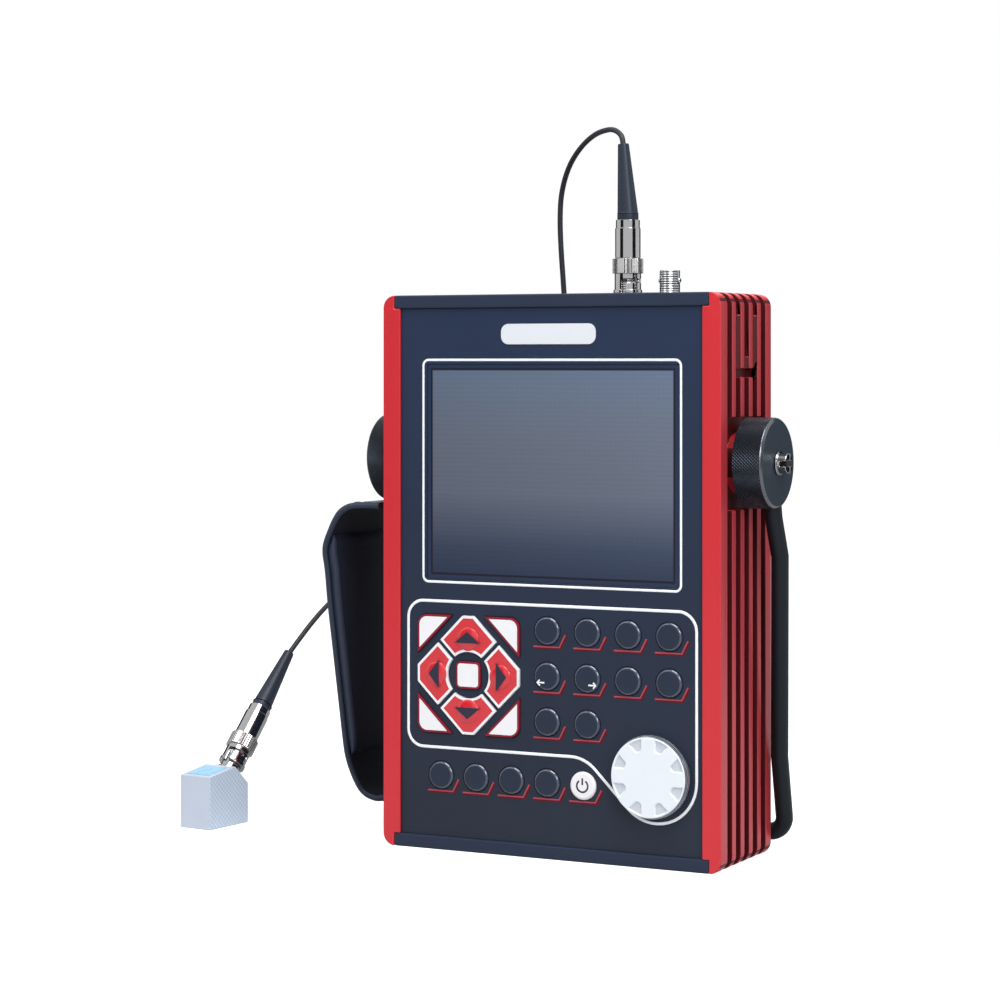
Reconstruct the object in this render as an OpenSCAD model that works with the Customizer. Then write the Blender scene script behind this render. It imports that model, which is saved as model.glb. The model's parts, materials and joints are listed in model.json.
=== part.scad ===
// Portable ultrasonic flaw detector with an angle probe on its lead.
// Frame: origin at the middle of the underside, +Z up, the display faces -Y.

/* [Case] */
// Width over both side rails
body_w = 174.5; // [172:0.5:180]
// Depth from front to back
body_d = 62; // [60:0.5:66]
// Height over both end caps
body_h = 263; // [261:0.5:275]
// Width of a side rail seen from the front
rail_w = 9.2; // [8.8:0.1:10]
// Thickness of the rail behind its cooling grooves
rail_wall = 4.2; // [4:0.1:4.8]
// Number of cooling grooves on a rail
groove_count = 5; // [5:1:6]
// Width of a cooling groove
groove_w = 5.4; // [4.8:0.1:5.6]
// Depth of the rail's front lip, up to the first groove
lip_d = 8.2; // [7.5:0.1:9]
// Radius of the rails' outer corners, seen from the front
rail_corner_r = 6; // [4:0.5:9]
// Thickness of the end caps
cap_t = 6.3; // [6:0.1:8]
// How far the end caps stop short of the case's side
cap_inset = 5.9; // [5.4:0.1:6.5]
// How far the front panel lies behind the rails' front
panel_recess = 1.5; // [1.2:0.1:1.8]
// Thickness of the front panel
panel_t = 3; // [2.8:0.1:3.4]
// How far the rear cover and caps lie in front of the rails' back
back_recess = 2.5; // [2.2:0.1:2.9]
// Thickness of the rear cover
cover_t = 2; // [1.9:0.1:2.4]

/* [Display] */
// Width of the visible screen
screen_w = 126; // [116:0.5:128]
// Top of the visible screen below the top of the case
screen_drop = 34.9; // [34:0.1:38]
// Bottom of the visible screen above the underside
screen_low = 130.5; // [128:0.5:136]
// Middle of the screen to the right of the case's middle
screen_x = 1; // [0:0.5:2]
// Thickness of the screen's window
window_t = 1.5; // [1.2:0.1:1.6]
// Thickness of the display module
module_t = 7.5; // [6:0.1:8]

/* [Keys] */
// Diameter of the round keys
key_d = 13.2; // [11:0.2:13.8]
// Height of the keys above the panel
key_proud = 1; // [0.7:0.1:1.6]
// How far a key moves when pressed
key_travel = 0.6; // [0.3:0.1:0.6]
// Distance between columns of the round keys
key_pitch_x = 20.6; // [19:0.1:21]
// Distance between rows of the round keys
key_pitch_z = 21.2; // [19:0.1:21.5]
// Distance between keys of the lower row
lower_pitch = 18.6; // [16.5:0.1:19]
// Height of the lower row above the underside
lower_row_z = 35.3; // [33:0.1:36]
// Height of the cursor keys' middle above the underside
pad_z = 83.4; // [82:0.1:85]
// Place of the cursor keys' middle to the left of the case's middle
pad_left = 41.7; // [41:0.1:42.2]
// Half of the cursor keys' width
pad_half_w = 27; // [25:0.1:27.4]
// Half of the cursor keys' height
pad_half_h = 28; // [26:0.1:29]

/* [Dial] */
// Diameter of the dial at its foot
dial_d = 38.6; // [34:0.2:39]
// Height of the dial above the panel
dial_proud = 5.4; // [4:0.1:8]
// Middle of the dial to the right of the case's middle
dial_x = 53; // [52:0.1:53.2]
// Middle of the dial above the underside
dial_z = 42.1; // [41:0.1:43]
// Diameter of the dial's spindle
spindle_d = 6; // [5:0.1:6.4]

/* [Handle] */
// Handle's pivot below the top of the case
pivot_drop = 78.2; // [75:0.1:81]
// Diameter of the pivot hubs
hub_d = 42; // [38:0.5:44]
// Thickness of a pivot hub
hub_t = 14.6; // [13:0.1:16]
// Diameter of the pivot bolts
bolt_d = 8; // [6:0.5:9]
// Diameter of the handle's rod
rod_d = 8.2; // [7.6:0.1:8.2]
// Gap under the crossbar when the handle is down
bar_clear = 5.3; // [4.8:0.1:6]
// How far the crossbar's axis lies behind the rails' back
bar_behind = 6.5; // [6:0.1:8]
// How far the hand strap stands out from the case's side
strap_reach = 42; // [38:0.5:42]
// Depth of the hand strap, front to back
strap_d = 58; // [50:1:60]
// Thickness of the hand strap's leather
strap_t = 3; // [2.4:0.1:3.4]
// Thickness of the cushion inside the hand strap
pad_t = 5; // [4:0.1:6]

/* [Leads and probe] */
// Diameter of the lead
cord_d = 2.6; // [2.4:0.1:2.6]
// Outer diameter of a signal jack
jack_d = 9.6; // [9.4:0.1:9.8]
// Height of a signal jack above its seat
jack_h = 11; // [10.6:0.1:11.4]
// Left signal jack to the right of the case's middle
jack_left_x = 27.3; // [26:0.1:28]
// Distance between the two signal jacks
jack_pitch = 21.5; // [20:0.1:24]
// Width of the probe
probe_w = 19; // [18:0.1:20]
// Length of the probe
probe_l = 30.2; // [29:0.1:31]
// Height of the probe at its front
probe_h = 26.2; // [25.5:0.1:27]

/* [Hidden] */

$fn = 64;

// General fits and the overrun that cuts use
overrun = 1;
fit = 0.1;
run_fit = 0.05;
side_gap = 0.2;
small_r = 1;

// Places that the case's sizes give
side_x = body_w / 2;
front_y = -body_d / 2;
back_y = body_d / 2;
rail_in = side_x - rail_w;
groove_floor_x = rail_in + rail_wall;
panel_y = front_y + panel_recess;
panel_back = panel_y + panel_t;
cover_back = back_y - back_recess;
cover_y = cover_back - cover_t;
cap_x = side_x - cap_inset;
cap_under = body_h - cap_t;
pivot_z = body_h - pivot_drop;

// Side rails: lips, fins, slots for the plates, guides for the board, screw ports
flange_d = 7.3;
plate_bite = 1.9;
plate_slot = 2;
ledge_w = 4;
ledge_t = 2.2;
fin_w = (body_d - lip_d - flange_d - groove_count * groove_w) / (groove_count - 1);
fin_pitch = groove_w + fin_w;
guide_w = 3;
guide_t = 1.8;
board_t = 1.6;
board_gap = fit;
port_r = 3.4;
port_in = 2.5;
port_gap = 4.1;
port_y = cover_y - port_r - port_gap;
screw_r = 1.5;
screw_l = 12;
screw_head_r = 2.8;
screw_head_t = 1.7;
hub_pad_half = hub_d / 2 + side_gap;
boss_r = 14;
boss_gap = 0.3;
hub_gap = 1;
inner_boss_r = 8;
inner_boss_t = 5;

// Strap anchor cut into the fins near the rail's top
anchor_drop = 10.3;
anchor_h = 24.3;
anchor_top = body_h - anchor_drop;
anchor_low = anchor_top - anchor_h;
anchor_bar = 5.2;
anchor_chamfer = 3;
anchor_sink = 0.6;
anchor_notch = 4.2;

// Openings of the panel and the window in it
window_rim = 2;
window_sink = 0.3;
screen_h = body_h - screen_drop - screen_low;
screen_z = screen_low + screen_h / 2;
window_w = screen_w + 2 * window_rim;
window_h = screen_h + 2 * window_rim;
module_rim = 5;
badge_w = 49;
badge_h = 9.6;
badge_t = 0.4;
badge_drop = 18.7;
badge_z = body_h - badge_drop;

// Keys: the shapes of the cursor keys and what holds a key in the panel
key_gap = 0.2;
key_flange = 0.8;
key_flange_t = 0.8;
key_post_r = 1.6;
key_post_l = 1.2;
switch_r = 2.6;
switch_t = 0.4;
switch_gap = 0.1;
keyboard_y = panel_back + key_flange_t + key_post_l + key_travel + switch_gap + switch_t;
keyboard_t = 1.6;
keyboard_half_w = 73;
keyboard_low = 21;
keyboard_gap = 4.5;
keyboard_top = screen_low - module_rim - keyboard_gap;
stud_r = 1.5;
stud_x = 71.2;
stud_low = 24;
stud_mid = 60;
stud_edge = 2.5;
stud_top = keyboard_top - stud_edge;
stud_inner_x = 10;
cursor_ring_r = 11;
cursor_split = 2;
cursor_square = 31;
corner_square = 36.7;
corner_r = 5;
enter_w = 12.9;
enter_r = 2.5;
round_row_z = 106.1;
round_col_x = -0.5;
power_x = 18;

// Dial and its encoder
dial_gap = 0.4;
dial_taper = 0.9;
dial_face_r = dial_d / 2 - dial_taper;
dial_rim_t = 2.4;
dent_count = 8;
dent_depth = 0.8;
dent_rim = 0.7;
dent_outer_r = dial_face_r - dent_rim;
dent_inner_r = 12.6;
dent_outer_w = 6.4;
dent_inner_w = 3.2;
bushing_r = 4.4;
encoder_w = 14;
encoder_t = 7.3;
encoder_gap = 4.4;
board_y = keyboard_y + keyboard_t + encoder_t + encoder_gap;
spindle_hole_gap = 0.4;

// Battery, its door and the main board's parts
door_side_gap = 4.15;
door_w = 2 * (rail_in - port_in - port_r - door_side_gap);
door_h = 88;
door_t = 1.2;
door_low = 8.5;
door_rim = 7;
door_screw_in = 3.5;
insert_r = 3.5;
insert_l = 5;
battery_side_gap = 2;
battery_w = door_w - 2 * (door_rim + battery_side_gap);
battery_h = door_h - 2 * (door_rim + fit);
battery_t = 22.8;
battery_low = door_low + door_rim + fit;
tray_w = 100;
tray_t = 16;
board_drop = 23;
board_top = body_h - board_drop;
board_bite = 0.65;
shield_w = 58;
shield_h = 46;
shield_t = 9;
shield_x = 10;
shield_drop = 76;
chip_w = 28;
chip_t = 2.4;
chip_x = -52;
chip_low = 150;
memory_w = 16;
memory_h = 11;
memory_pitch = 15;
front_part_t = 4;
front_part_w = 40;
front_part_h = 18;
front_part_low = 128;

// Jacks and plugs of the bayonet kind, measured from the jack's seat
jack_bore_r = 4.05;
jack_bore_depth = 10;
jack_core_r = 2.4;
jack_core_short = 2;
jack_pin_r = 0.7;
jack_flange_r = 7;
jack_flange_t = 1.5;
jack_thread_r = 4.7;
jack_thread_l = 11.5;
nut_across = 14;
nut_t = 3;
lug_r = 1;
lug_reach = 5.5;
lug_z = 6.3;
collar_gap = 0.4;
collar_rim_r = 6.85;
collar_rim_t = 1.7;
collar_shell_r = 6.3;
collar_shell_top = 9.8;
collar_grip_r = 7.3;
collar_grip_t = 7;
collar_bore_r = jack_d / 2 + side_gap;
collar_neck_r = 5.7;
collar_turn = 85;
slot_gap = 0.1;
slot_spare = 12;
plug_neck_r = 5.6;
plug_gap = 0.2;
plug_body_r = 6.05;
plug_body_l = 14.1;
plug_ring_r = 5.7;
plug_ring_l = 3.9;
plug_sleeve_r = 3.9;
plug_sleeve_in = 2.7;
plug_sleeve_low = 2.2;
plug_pin_r = 0.6;
plug_pin_low = 3;
boot_r = 5;
boot_tip_r = 2.6;
boot_l = 36;
boot_straight = 3;
boot_bite = 0.5;
boot_step = 0.1;
boot_lean = 4;
collar_top = collar_shell_top + collar_grip_t;
neck_gap = 0.3;
neck_low = jack_h + neck_gap;
plug_low = collar_top + plug_gap;
ring_low = plug_low + plug_body_l;
boot_low = ring_low + plug_ring_l;

// Probe: its place, turn, sloping top and the seat of its jack
probe_x = -190.2;
probe_y = -20;
probe_turn = -6.5;
probe_rise = 3;
probe_slope_share = 0.662;
probe_back_share = 0.763;
probe_skin = 1.6;
probe_sole_h = 9;
seat_flange_r = 6.2;
seat_flange_t = 1.2;
seat_neck_r = 5;
seat_h = 4.5;
seat_sink = 2;
seat_share = 0.5;
label_t = 0.3;
label_in = 2.4;
label_l = 14;
probe_peak_y = probe_l * (probe_slope_share - 0.5);
probe_peak_z = probe_h + probe_rise;
probe_back_z = probe_h * probe_back_share;
seat_dy = probe_l / 2 - probe_peak_y;
seat_dz = probe_peak_z - probe_back_z;
seat_angle = atan2(seat_dz, seat_dy);
seat_y = probe_peak_y + seat_share * seat_dy + seat_h * sin(seat_angle);
seat_z = probe_peak_z - seat_share * seat_dz + seat_h * cos(seat_angle);
top_slope = atan2(probe_rise, probe_peak_y + probe_l / 2);

// Handle: tilt at rest, how its arms run, hub and bolt details
bar_z = bar_clear + rod_d / 2;
bar_back = back_y + bar_behind;
handle_tilt = atan2(bar_back, pivot_z - bar_z);
handle_r = sqrt(bar_back * bar_back + (pivot_z - bar_z) * (pivot_z - bar_z));
arm_start = 9;
arm_out = 11.2;
arm_bend_a = 26;
arm_wide = 12.8;
arm_bend_b = 44;
arm_gap = 0.6;
arm_in = rod_d / 2 + arm_gap;
arm_low = 37.4;
arm_bend_c = handle_r - arm_low;
corner_bend = 8;
knee_swell = 0.03;
knee_r = rod_d / 2 + knee_swell;
hub_out = hub_gap + hub_t;
hub_edge = 1.2;
washer_r = 5.6;
washer_t = 0.8;
bolt_gap = 0.2;
bolt_head_r = 4.8;
bolt_head_t = 4.2;
bolt_slot = 2.6;
bolt_slot_depth = 3;
bolt_short = 1;
bolt_end = inner_boss_t - bolt_short;

// Hand strap: heights of its outline and the clips that hold it to the rod
strap_hub_gap = 0.5;
strap_top = pivot_z - hub_d / 2 - strap_hub_gap;
strap_low = 13;
strap_height = strap_top - strap_low;
strap_outer_shares = [[0.16, 1], [0.53, 1], [0.74, 0.961], [0.93, 0.858], [0.99, 0.745],
                      [1, 0.18], [0.985, 0.13], [0.88, 0.038], [0.58, 0]];
strap_inner_shares = [[0, 1], [0.55, 1], [0.77, 0.955], [0.94, 0.85], [1, 0.745],
                      [1, 0.19], [0.985, 0.14], [0.86, 0.045], [0.6, 0]];
clip_t = 1.8;
clip_l = 13;
clip_share = 0.25;
clip_rise = 2;
clip_drop = 15;
strap_end_u = arm_in + rod_d / 2 + clip_t / 2;
strap_end_rise = 7;
strap_end_z = strap_low + strap_end_rise;
cushion_top_share = 0.8;
cushion_low_share = 0.18;

// Lead: points of its two free stretches and the size and place of its coil
cord_r = cord_d / 2;
coil_x = -60;
coil_y = 88;
coil_mean_r = 15;
coil_half_w = 5.5;
coil_layers = 2;
upper_route = [
    [25.1, 0, body_h + 69], [24, 0.8, body_h + 73.6], [22, 2.2, body_h + 76], [18, 4.6, body_h + 78],
    [13, 7.5, body_h + 78.4], [5, 12, body_h + 77], [-4, 17.5, body_h + 72.8],
    [-12.5, 23, body_h + 66], [-18.5, 27.5, body_h + 58], [-22, 30.2, body_h + 49],
    [-22.9, 30.8, body_h + 40], [-22.8, 30.8, body_h + 31], [-22.2, 30.8, body_h + 20],
    [-21.2, 30.8, body_h + 7], [-20.3, 30.8, body_h - 8], [-20, 30.8, body_h * 0.875],
    [-20, 30.8, body_h * 0.722], [-20, 30.8, body_h * 0.57], [-20, 30.8, body_h * 0.418],
    [-20, 30.8, body_h * 0.266], [-20, 30.8, body_h * 0.152], [-20, 30.8, 22], [-20, 30.8, 11.7],
    [-20, 31.6, 7.7], [-20, 33.85, 4.35], [-20, 37.2, 2.1],
    [-20, 41.2, 1.3], [-21.3, 49, 1.3], [-25, 57, 1.3], [-30.5, 65, 1.3], [-36, 73, 1.3],
    [-40, 81, 1.3], [-41.1, 88, 1.3]];
lower_route = [
    [-60, 106.9, 3.9], [-67, 107.5, 3.4], [-74, 108, 2.2], [-82, 108.5, 1.4], [-92, 109, 1.3],
    [-101, 110, 3], [-110.5, 112.5, 9.5], [-119, 115.5, 21.5], [-126, 118.5, 38], [-131.5, 120, 57],
    [-137, 118.5, 76], [-147, 115.5, 93], [-158, 110.5, 104], [-168, 103, 109.5], [-175, 93, 110],
    [-178.5, 82, 107], [-179.8, 71, 101.8], [-181.1, 59.4, 94.6], [-182.3, 49.2, 87.2],
    [-183.5, 38.8, 79.2]];
cord_sides = 8;

// Colours
red_metal = [0.85, 0.20, 0.24];
navy = [0.13, 0.17, 0.27];
black_metal = [0.09, 0.10, 0.12];
bright_metal = [0.80, 0.80, 0.80];
board_green = [0.10, 0.35, 0.22];
leather_black = [0.07, 0.08, 0.12];
key_red = [0.84, 0.16, 0.20];
key_white = [0.93, 0.93, 0.93];
grey_metal = [0.74, 0.78, 0.83];

// An outline in X and Z, made into a plate from y0 to y1
module along_y(y0, y1) {
    translate([0, y1, 0]) rotate([90, 0, 0]) linear_extrude(y1 - y0) children();
}

// An outline in Y and Z, made into a plate from x0 to x1
module along_x(x0, x1) {
    translate([x0, 0, 0]) rotate([90, 0, 90]) linear_extrude(x1 - x0) children();
}

// A round bar along Y
module rod_y(r, y0, y1) {
    translate([0, y1, 0]) rotate([90, 0, 0]) cylinder(r = r, h = y1 - y0);
}

// A round bar along X
module rod_x(r, x0, x1) {
    translate([x0, 0, 0]) rotate([0, 90, 0]) cylinder(r = r, h = x1 - x0);
}

// A rectangle about the origin with round corners
module round_rect(w, h, r) {
    square([w - 2 * r, h], center = true);
    square([w, h - 2 * r], center = true);
    for (sx = [-1, 1], sz = [-1, 1])
        translate([sx * (w / 2 - r), sz * (h / 2 - r)]) circle(r);
}

// A block between two corners
module block(low, high) {
    translate(low) cube(high - low);
}

// Rails

module rail_profile() {
    translate([rail_in, front_y]) square([rail_wall, body_d]);
    translate([rail_in, front_y]) square([rail_w, lip_d]);
    translate([rail_in, back_y - flange_d]) square([rail_w, flange_d]);
    for (i = [1:groove_count - 1])
        translate([rail_in, front_y + lip_d + i * fin_pitch - fin_w]) square([rail_w, fin_w]);
    translate([rail_in - ledge_w, panel_back]) square([ledge_w + small_r, ledge_t]);
    translate([rail_in - ledge_w, cover_y - ledge_t]) square([ledge_w + small_r, ledge_t]);
    for (y = [board_y - board_gap - guide_t, board_y + board_t + board_gap])
        translate([rail_in - guide_w, y]) square([guide_w + small_r, guide_t]);
    for (s = [-1, 1])
        translate([rail_in - port_in, s * port_y]) circle(port_r);
}

module rail_front_outline() {
    inner = rail_in - port_in - port_r - overrun;
    translate([inner, 0]) square([side_x - rail_corner_r - inner, body_h]);
    translate([inner, rail_corner_r]) square([side_x - inner, body_h - 2 * rail_corner_r]);
    for (z = [rail_corner_r, body_h - rail_corner_r])
        translate([side_x - rail_corner_r, z]) circle(rail_corner_r);
}

// The U-shaped bridge that the shoulder strap's clip hooks under
module anchor_outline() {
    half = front_y + lip_d + 3 * fin_pitch + groove_w;
    inner = front_y + lip_d + fin_pitch + groove_w;
    outer = front_y + lip_d + fin_pitch;
    difference() {
        polygon([[outer, anchor_top], [outer, anchor_low + anchor_chamfer],
                 [outer + anchor_chamfer, anchor_low], [half - anchor_chamfer, anchor_low],
                 [half, anchor_low + anchor_chamfer], [half, anchor_top]]);
        translate([inner, anchor_low + anchor_bar])
            square([half - groove_w - inner, anchor_top - anchor_low]);
    }
}

module rail() {
    fin_start = front_y + lip_d + groove_w;
    notch_low = anchor_low - anchor_notch;
    difference() {
        union() {
            difference() {
                intersection() {
                    linear_extrude(body_h) rail_profile();
                    along_y(front_y, back_y) rail_front_outline();
                }
                block([groove_floor_x, front_y + lip_d, pivot_z - hub_pad_half],
                      [side_x + overrun, back_y - flange_d, pivot_z + hub_pad_half]);
                block([groove_floor_x, front_y + lip_d + fin_pitch, notch_low],
                      [side_x + overrun, front_y + lip_d + 3 * fin_pitch + groove_w, anchor_low]);
            }
            along_x(groove_floor_x - small_r, side_x - anchor_sink) anchor_outline();
            translate([0, 0, pivot_z]) rod_x(boss_r, groove_floor_x - small_r, side_x + hub_gap - boss_gap);
            translate([0, 0, pivot_z]) rod_x(inner_boss_r, rail_in - inner_boss_t, rail_in + small_r);
        }
        for (z = [-overrun, cap_under])
            block([rail_in - port_in - port_r - overrun, front_y - overrun, z],
                  [cap_x, back_y + overrun, z + cap_t + overrun]);
        for (y = [panel_y, cover_y])
            block([rail_in - overrun, y, 0],
                  [rail_in + plate_slot, y + (y == panel_y ? panel_t : cover_t), body_h]);
        translate([0, 0, pivot_z])
            rod_x(bolt_d / 2 + run_fit, rail_in - inner_boss_t - overrun, side_x + hub_gap + overrun);
        for (s = [-1, 1], z = [cap_t - overrun, cap_under - screw_l])
            translate([rail_in - port_in, s * port_y, z])
                cylinder(r = screw_r + run_fit, h = screw_l + overrun);
    }
}

module rail_left() {
    color(red_metal) mirror([1, 0, 0]) rail();
}

module rail_right() {
    color(red_metal) rail();
}

// End caps

module cap_outline(z0) {
    translate([0, z0 + cap_t / 2]) round_rect(2 * cap_x, cap_t, small_r);
}

module screw_places() {
    for (sx = [-1, 1], sy = [-1, 1])
        translate([sx * (rail_in - port_in), sy * port_y, 0]) children();
}

module countersink(gap) {
    cylinder(r = screw_r + gap, h = screw_l);
    translate([0, 0, screw_l - screw_head_t])
        cylinder(r1 = screw_r + gap, r2 = screw_head_r + gap, h = screw_head_t);
}

module top_cap() {
    color(navy) difference() {
        along_y(front_y, cover_back) cap_outline(cap_under);
        translate([0, 0, body_h - screw_l]) screw_places() countersink(fit);
        translate([0, 0, body_h]) screw_places() cylinder(r = screw_head_r + fit, h = overrun);
        for (x = [jack_left_x, jack_left_x + jack_pitch]) {
            translate([x, 0, cap_under - overrun])
                cylinder(r = jack_thread_r + fit, h = cap_t + 2 * overrun);
            translate([x, 0, body_h - jack_flange_t])
                cylinder(r = jack_flange_r + fit, h = jack_flange_t + overrun);
        }
    }
}

module bottom_cap() {
    color(navy) {
        difference() {
            union() {
                along_y(front_y, cover_back) cap_outline(0);
                block([-tray_w / 2, cover_y - battery_t / 2 - tray_t / 2, cap_t - small_r],
                      [tray_w / 2, cover_y - battery_t / 2 + tray_t / 2, battery_low]);
            }
            translate([0, 0, screw_l]) rotate([180, 0, 0]) screw_places() countersink(fit);
            translate([0, 0, -overrun]) screw_places() cylinder(r = screw_head_r + fit, h = overrun);
        }
    }
}

// Front panel, badge, window and display

module cursor_outline(reach, grow) {
    square_half = cursor_square + grow * sqrt(2);
    split = (cursor_split / 2 - grow) * sqrt(2);
    top = reach + grow;
    difference() {
        polygon([[0, split],
                 [(square_half - split) / 2, (square_half + split) / 2],
                 [square_half - top, top], [top - square_half, top],
                 [(split - square_half) / 2, (square_half + split) / 2]]);
        circle(cursor_ring_r - grow);
    }
}

// The corner key at the cluster's upper right
module corner_outline(grow) {
    a = pad_half_w + grow;
    b = pad_half_h + grow;
    c = corner_square - grow * sqrt(2);
    polygon([[c - b, b], [a - corner_r, b], [a, b - corner_r], [a, c - a]]);
    translate([a - corner_r, b - corner_r]) circle(corner_r);
}

function key_x(column) = round_col_x + column * key_pitch_x;
function key_z(row) = round_row_z - row * key_pitch_z;
function lower_x(i) = power_x - (4 - i) * lower_pitch;

round_places = [for (row = [0:1], column = [0:3]) [key_x(column), key_z(row)],
                for (column = [0:1]) [key_x(column), key_z(2)],
                for (i = [0:4]) [lower_x(i), lower_row_z]];
cursor_post = (cursor_ring_r + pad_half_h) / 2;
corner_post_x = pad_half_w - corner_r;
corner_post_z = pad_half_h - corner_r;
pad_posts = [[0, 0], [0, cursor_post], [0, -cursor_post], [cursor_post, 0], [-cursor_post, 0],
             [corner_post_x, corner_post_z], [-corner_post_x, corner_post_z],
             [corner_post_x, -corner_post_z], [-corner_post_x, -corner_post_z]];
stud_places = [[-stud_x, stud_low], [stud_x, stud_low], [-stud_x, stud_mid], [stud_x, stud_mid],
               [-stud_x, stud_top], [stud_x, stud_top], [stud_inner_x, stud_top],
               [-stud_inner_x, stud_low]];

// All key outlines, each grown on every side
module key_outlines(grow) {
    for (p = round_places) translate(p) circle(key_d / 2 + grow);
    translate([-pad_left, pad_z]) {
        round_rect(enter_w + 2 * grow, enter_w + 2 * grow, enter_r + grow);
        cursor_outline(pad_half_h, grow);
        rotate(180) cursor_outline(pad_half_h, grow);
        rotate(90) cursor_outline(pad_half_w, grow);
        rotate(-90) cursor_outline(pad_half_w, grow);
        corner_outline(grow);
        mirror([1, 0]) corner_outline(grow);
        mirror([0, 1]) corner_outline(grow);
        rotate(180) corner_outline(grow);
    }
}

module front_panel() {
    half_w = rail_in + plate_bite;
    color(navy) {
        difference() {
            along_y(panel_y, panel_back)
                translate([0, body_h / 2]) square([2 * half_w, body_h - 2 * cap_t], center = true);
            translate([screen_x, 0, screen_z]) {
                along_y(panel_y - overrun, panel_y + window_sink + window_t)
                    square([window_w + 2 * fit, window_h + 2 * fit], center = true);
                along_y(panel_y, panel_back + overrun) square([screen_w, screen_h], center = true);
            }
            along_y(panel_y - overrun, panel_back + overrun) key_outlines(key_gap);
            translate([dial_x, 0, dial_z])
                rod_y(spindle_d / 2 + spindle_hole_gap, panel_y - overrun, panel_back + overrun);
        }
        for (p = stud_places)
            translate([p[0], 0, p[1]]) rod_y(stud_r, panel_back - small_r, keyboard_y);
    }
}

module name_badge() {
    color(key_white) along_y(panel_y - badge_t, panel_y)
        translate([0, badge_z]) round_rect(badge_w, badge_h, badge_h / 2 - small_r);
}

module display_window() {
    front = panel_y + window_sink;
    color([0.20, 0.24, 0.30]) translate([screen_x, 0, screen_z])
        along_y(front, front + window_t) square([window_w, window_h], center = true);
}

module display_module() {
    color([0.55, 0.57, 0.60]) translate([screen_x, 0, screen_z]) {
        along_y(panel_back, panel_back + module_t)
            square([screen_w + 2 * module_rim, screen_h + 2 * module_rim], center = true);
    }
}

// Keypad board with a dome switch behind each key, and the dial's encoder

module keypad_board() {
    color(board_green) difference() {
        union() {
            along_y(keyboard_y, keyboard_y + keyboard_t)
                translate([-keyboard_half_w, keyboard_low])
                    square([2 * keyboard_half_w, keyboard_top - keyboard_low]);
            for (p = round_places)
                translate([p[0], 0, p[1]]) rod_y(switch_r, keyboard_y - switch_t, keyboard_y + small_r);
            for (p = pad_posts)
                translate([p[0] - pad_left, 0, p[1] + pad_z])
                    rod_y(switch_r, keyboard_y - switch_t, keyboard_y + small_r);
        }
        translate([dial_x, 0, dial_z])
            rod_y(bushing_r + fit, keyboard_y - overrun, keyboard_y + keyboard_t + overrun);
    }
}

module dial_encoder() {
    back = keyboard_y + keyboard_t;
    color([0.30, 0.32, 0.34]) translate([dial_x, 0, dial_z]) difference() {
        union() {
            rod_y(bushing_r, panel_back, back + small_r);
            along_y(back, back + encoder_t) square(encoder_w, center = true);
        }
        rod_y(spindle_d / 2 + run_fit, panel_back - overrun, back + encoder_t + overrun);
    }
}

module dial() {
    foot = panel_y - dial_gap;
    face = panel_y - dial_proud;
    color([0.92, 0.93, 0.96]) translate([dial_x, 0, dial_z]) {
        difference() {
            union() {
                rod_y(dial_d / 2, foot - dial_rim_t, foot);
                translate([0, foot - dial_rim_t, 0]) rotate([90, 0, 0])
                    cylinder(r1 = dial_d / 2, r2 = dial_face_r, h = foot - dial_rim_t - face);
                rod_y(spindle_d / 2, foot - dial_rim_t, keyboard_y + keyboard_t + encoder_t);
            }
            for (i = [0:dent_count - 1])
                rotate([0, (i + 0.5) * 360 / dent_count, 0])
                    along_y(face - overrun, face + dent_depth) dent_outline();
        }
    }
}

// One finger dent of the dial, narrow and round towards the middle
module dent_outline() {
    translate([0, dent_inner_r]) circle(dent_inner_w / 2);
    polygon([[-dent_inner_w / 2, dent_inner_r], [dent_inner_w / 2, dent_inner_r],
             [dent_outer_w / 2, dent_outer_r], [-dent_outer_w / 2, dent_outer_r]]);
}

// Keys: a cap in the panel's hole, a flange behind it and a post to the switch

module key_body(post) {
    along_y(panel_y - key_proud, panel_back + small_r / 2) children(0);
    along_y(panel_back, panel_back + key_flange_t) children(1);
    translate([post[0], 0, post[1]]) rod_y(key_post_r, panel_back, panel_back + key_flange_t + key_post_l);
}

module round_key(x, z, tint) {
    color(tint) translate([x, 0, z]) key_body([0, 0]) {
        circle(key_d / 2);
        circle(key_d / 2 + key_flange);
    }
}

module cursor_key(turn, reach) {
    post = [-sin(turn) * cursor_post, cos(turn) * cursor_post];
    color(key_red) translate([-pad_left, 0, pad_z]) key_body(post) {
        rotate(turn) cursor_outline(reach, 0);
        rotate(turn) cursor_outline(reach, key_flange * 0.7);
    }
}

module corner_key(sx, sz) {
    color(key_white) translate([-pad_left, 0, pad_z])
        key_body([sx * corner_post_x, sz * corner_post_z]) {
            scale([sx, sz]) corner_outline(0);
            scale([sx, sz]) corner_outline(key_flange);
        }
}

module cursor_enter() {
    color(key_white) translate([-pad_left, 0, pad_z]) key_body([0, 0]) {
        round_rect(enter_w, enter_w, enter_r);
        round_rect(enter_w + 2 * key_flange, enter_w + 2 * key_flange, enter_r + key_flange);
    }
}

// Main board, battery, rear cover and its door

module main_board() {
    back = board_y + board_t;
    half_w = rail_in - board_bite;
    shield_low = body_h - shield_drop;
    color(board_green) {
        block([-half_w, board_y, cap_t + fit], [half_w, back, board_top]);
        block([chip_x, back, chip_low], [chip_x + chip_w, back + chip_t, chip_low + chip_w]);
        for (i = [0:2])
            block([chip_x, back, chip_low - (i + 1) * memory_pitch],
                  [chip_x + memory_w, back + chip_t / 2, chip_low - (i + 1) * memory_pitch + memory_h]);
        block([shield_x, back, shield_low], [shield_x + shield_w, back + shield_t, shield_low + shield_h]);
        block([-front_part_w / 2, board_y - front_part_t, front_part_low],
              [front_part_w / 2, board_y, front_part_low + front_part_h]);
    }
}

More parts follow.
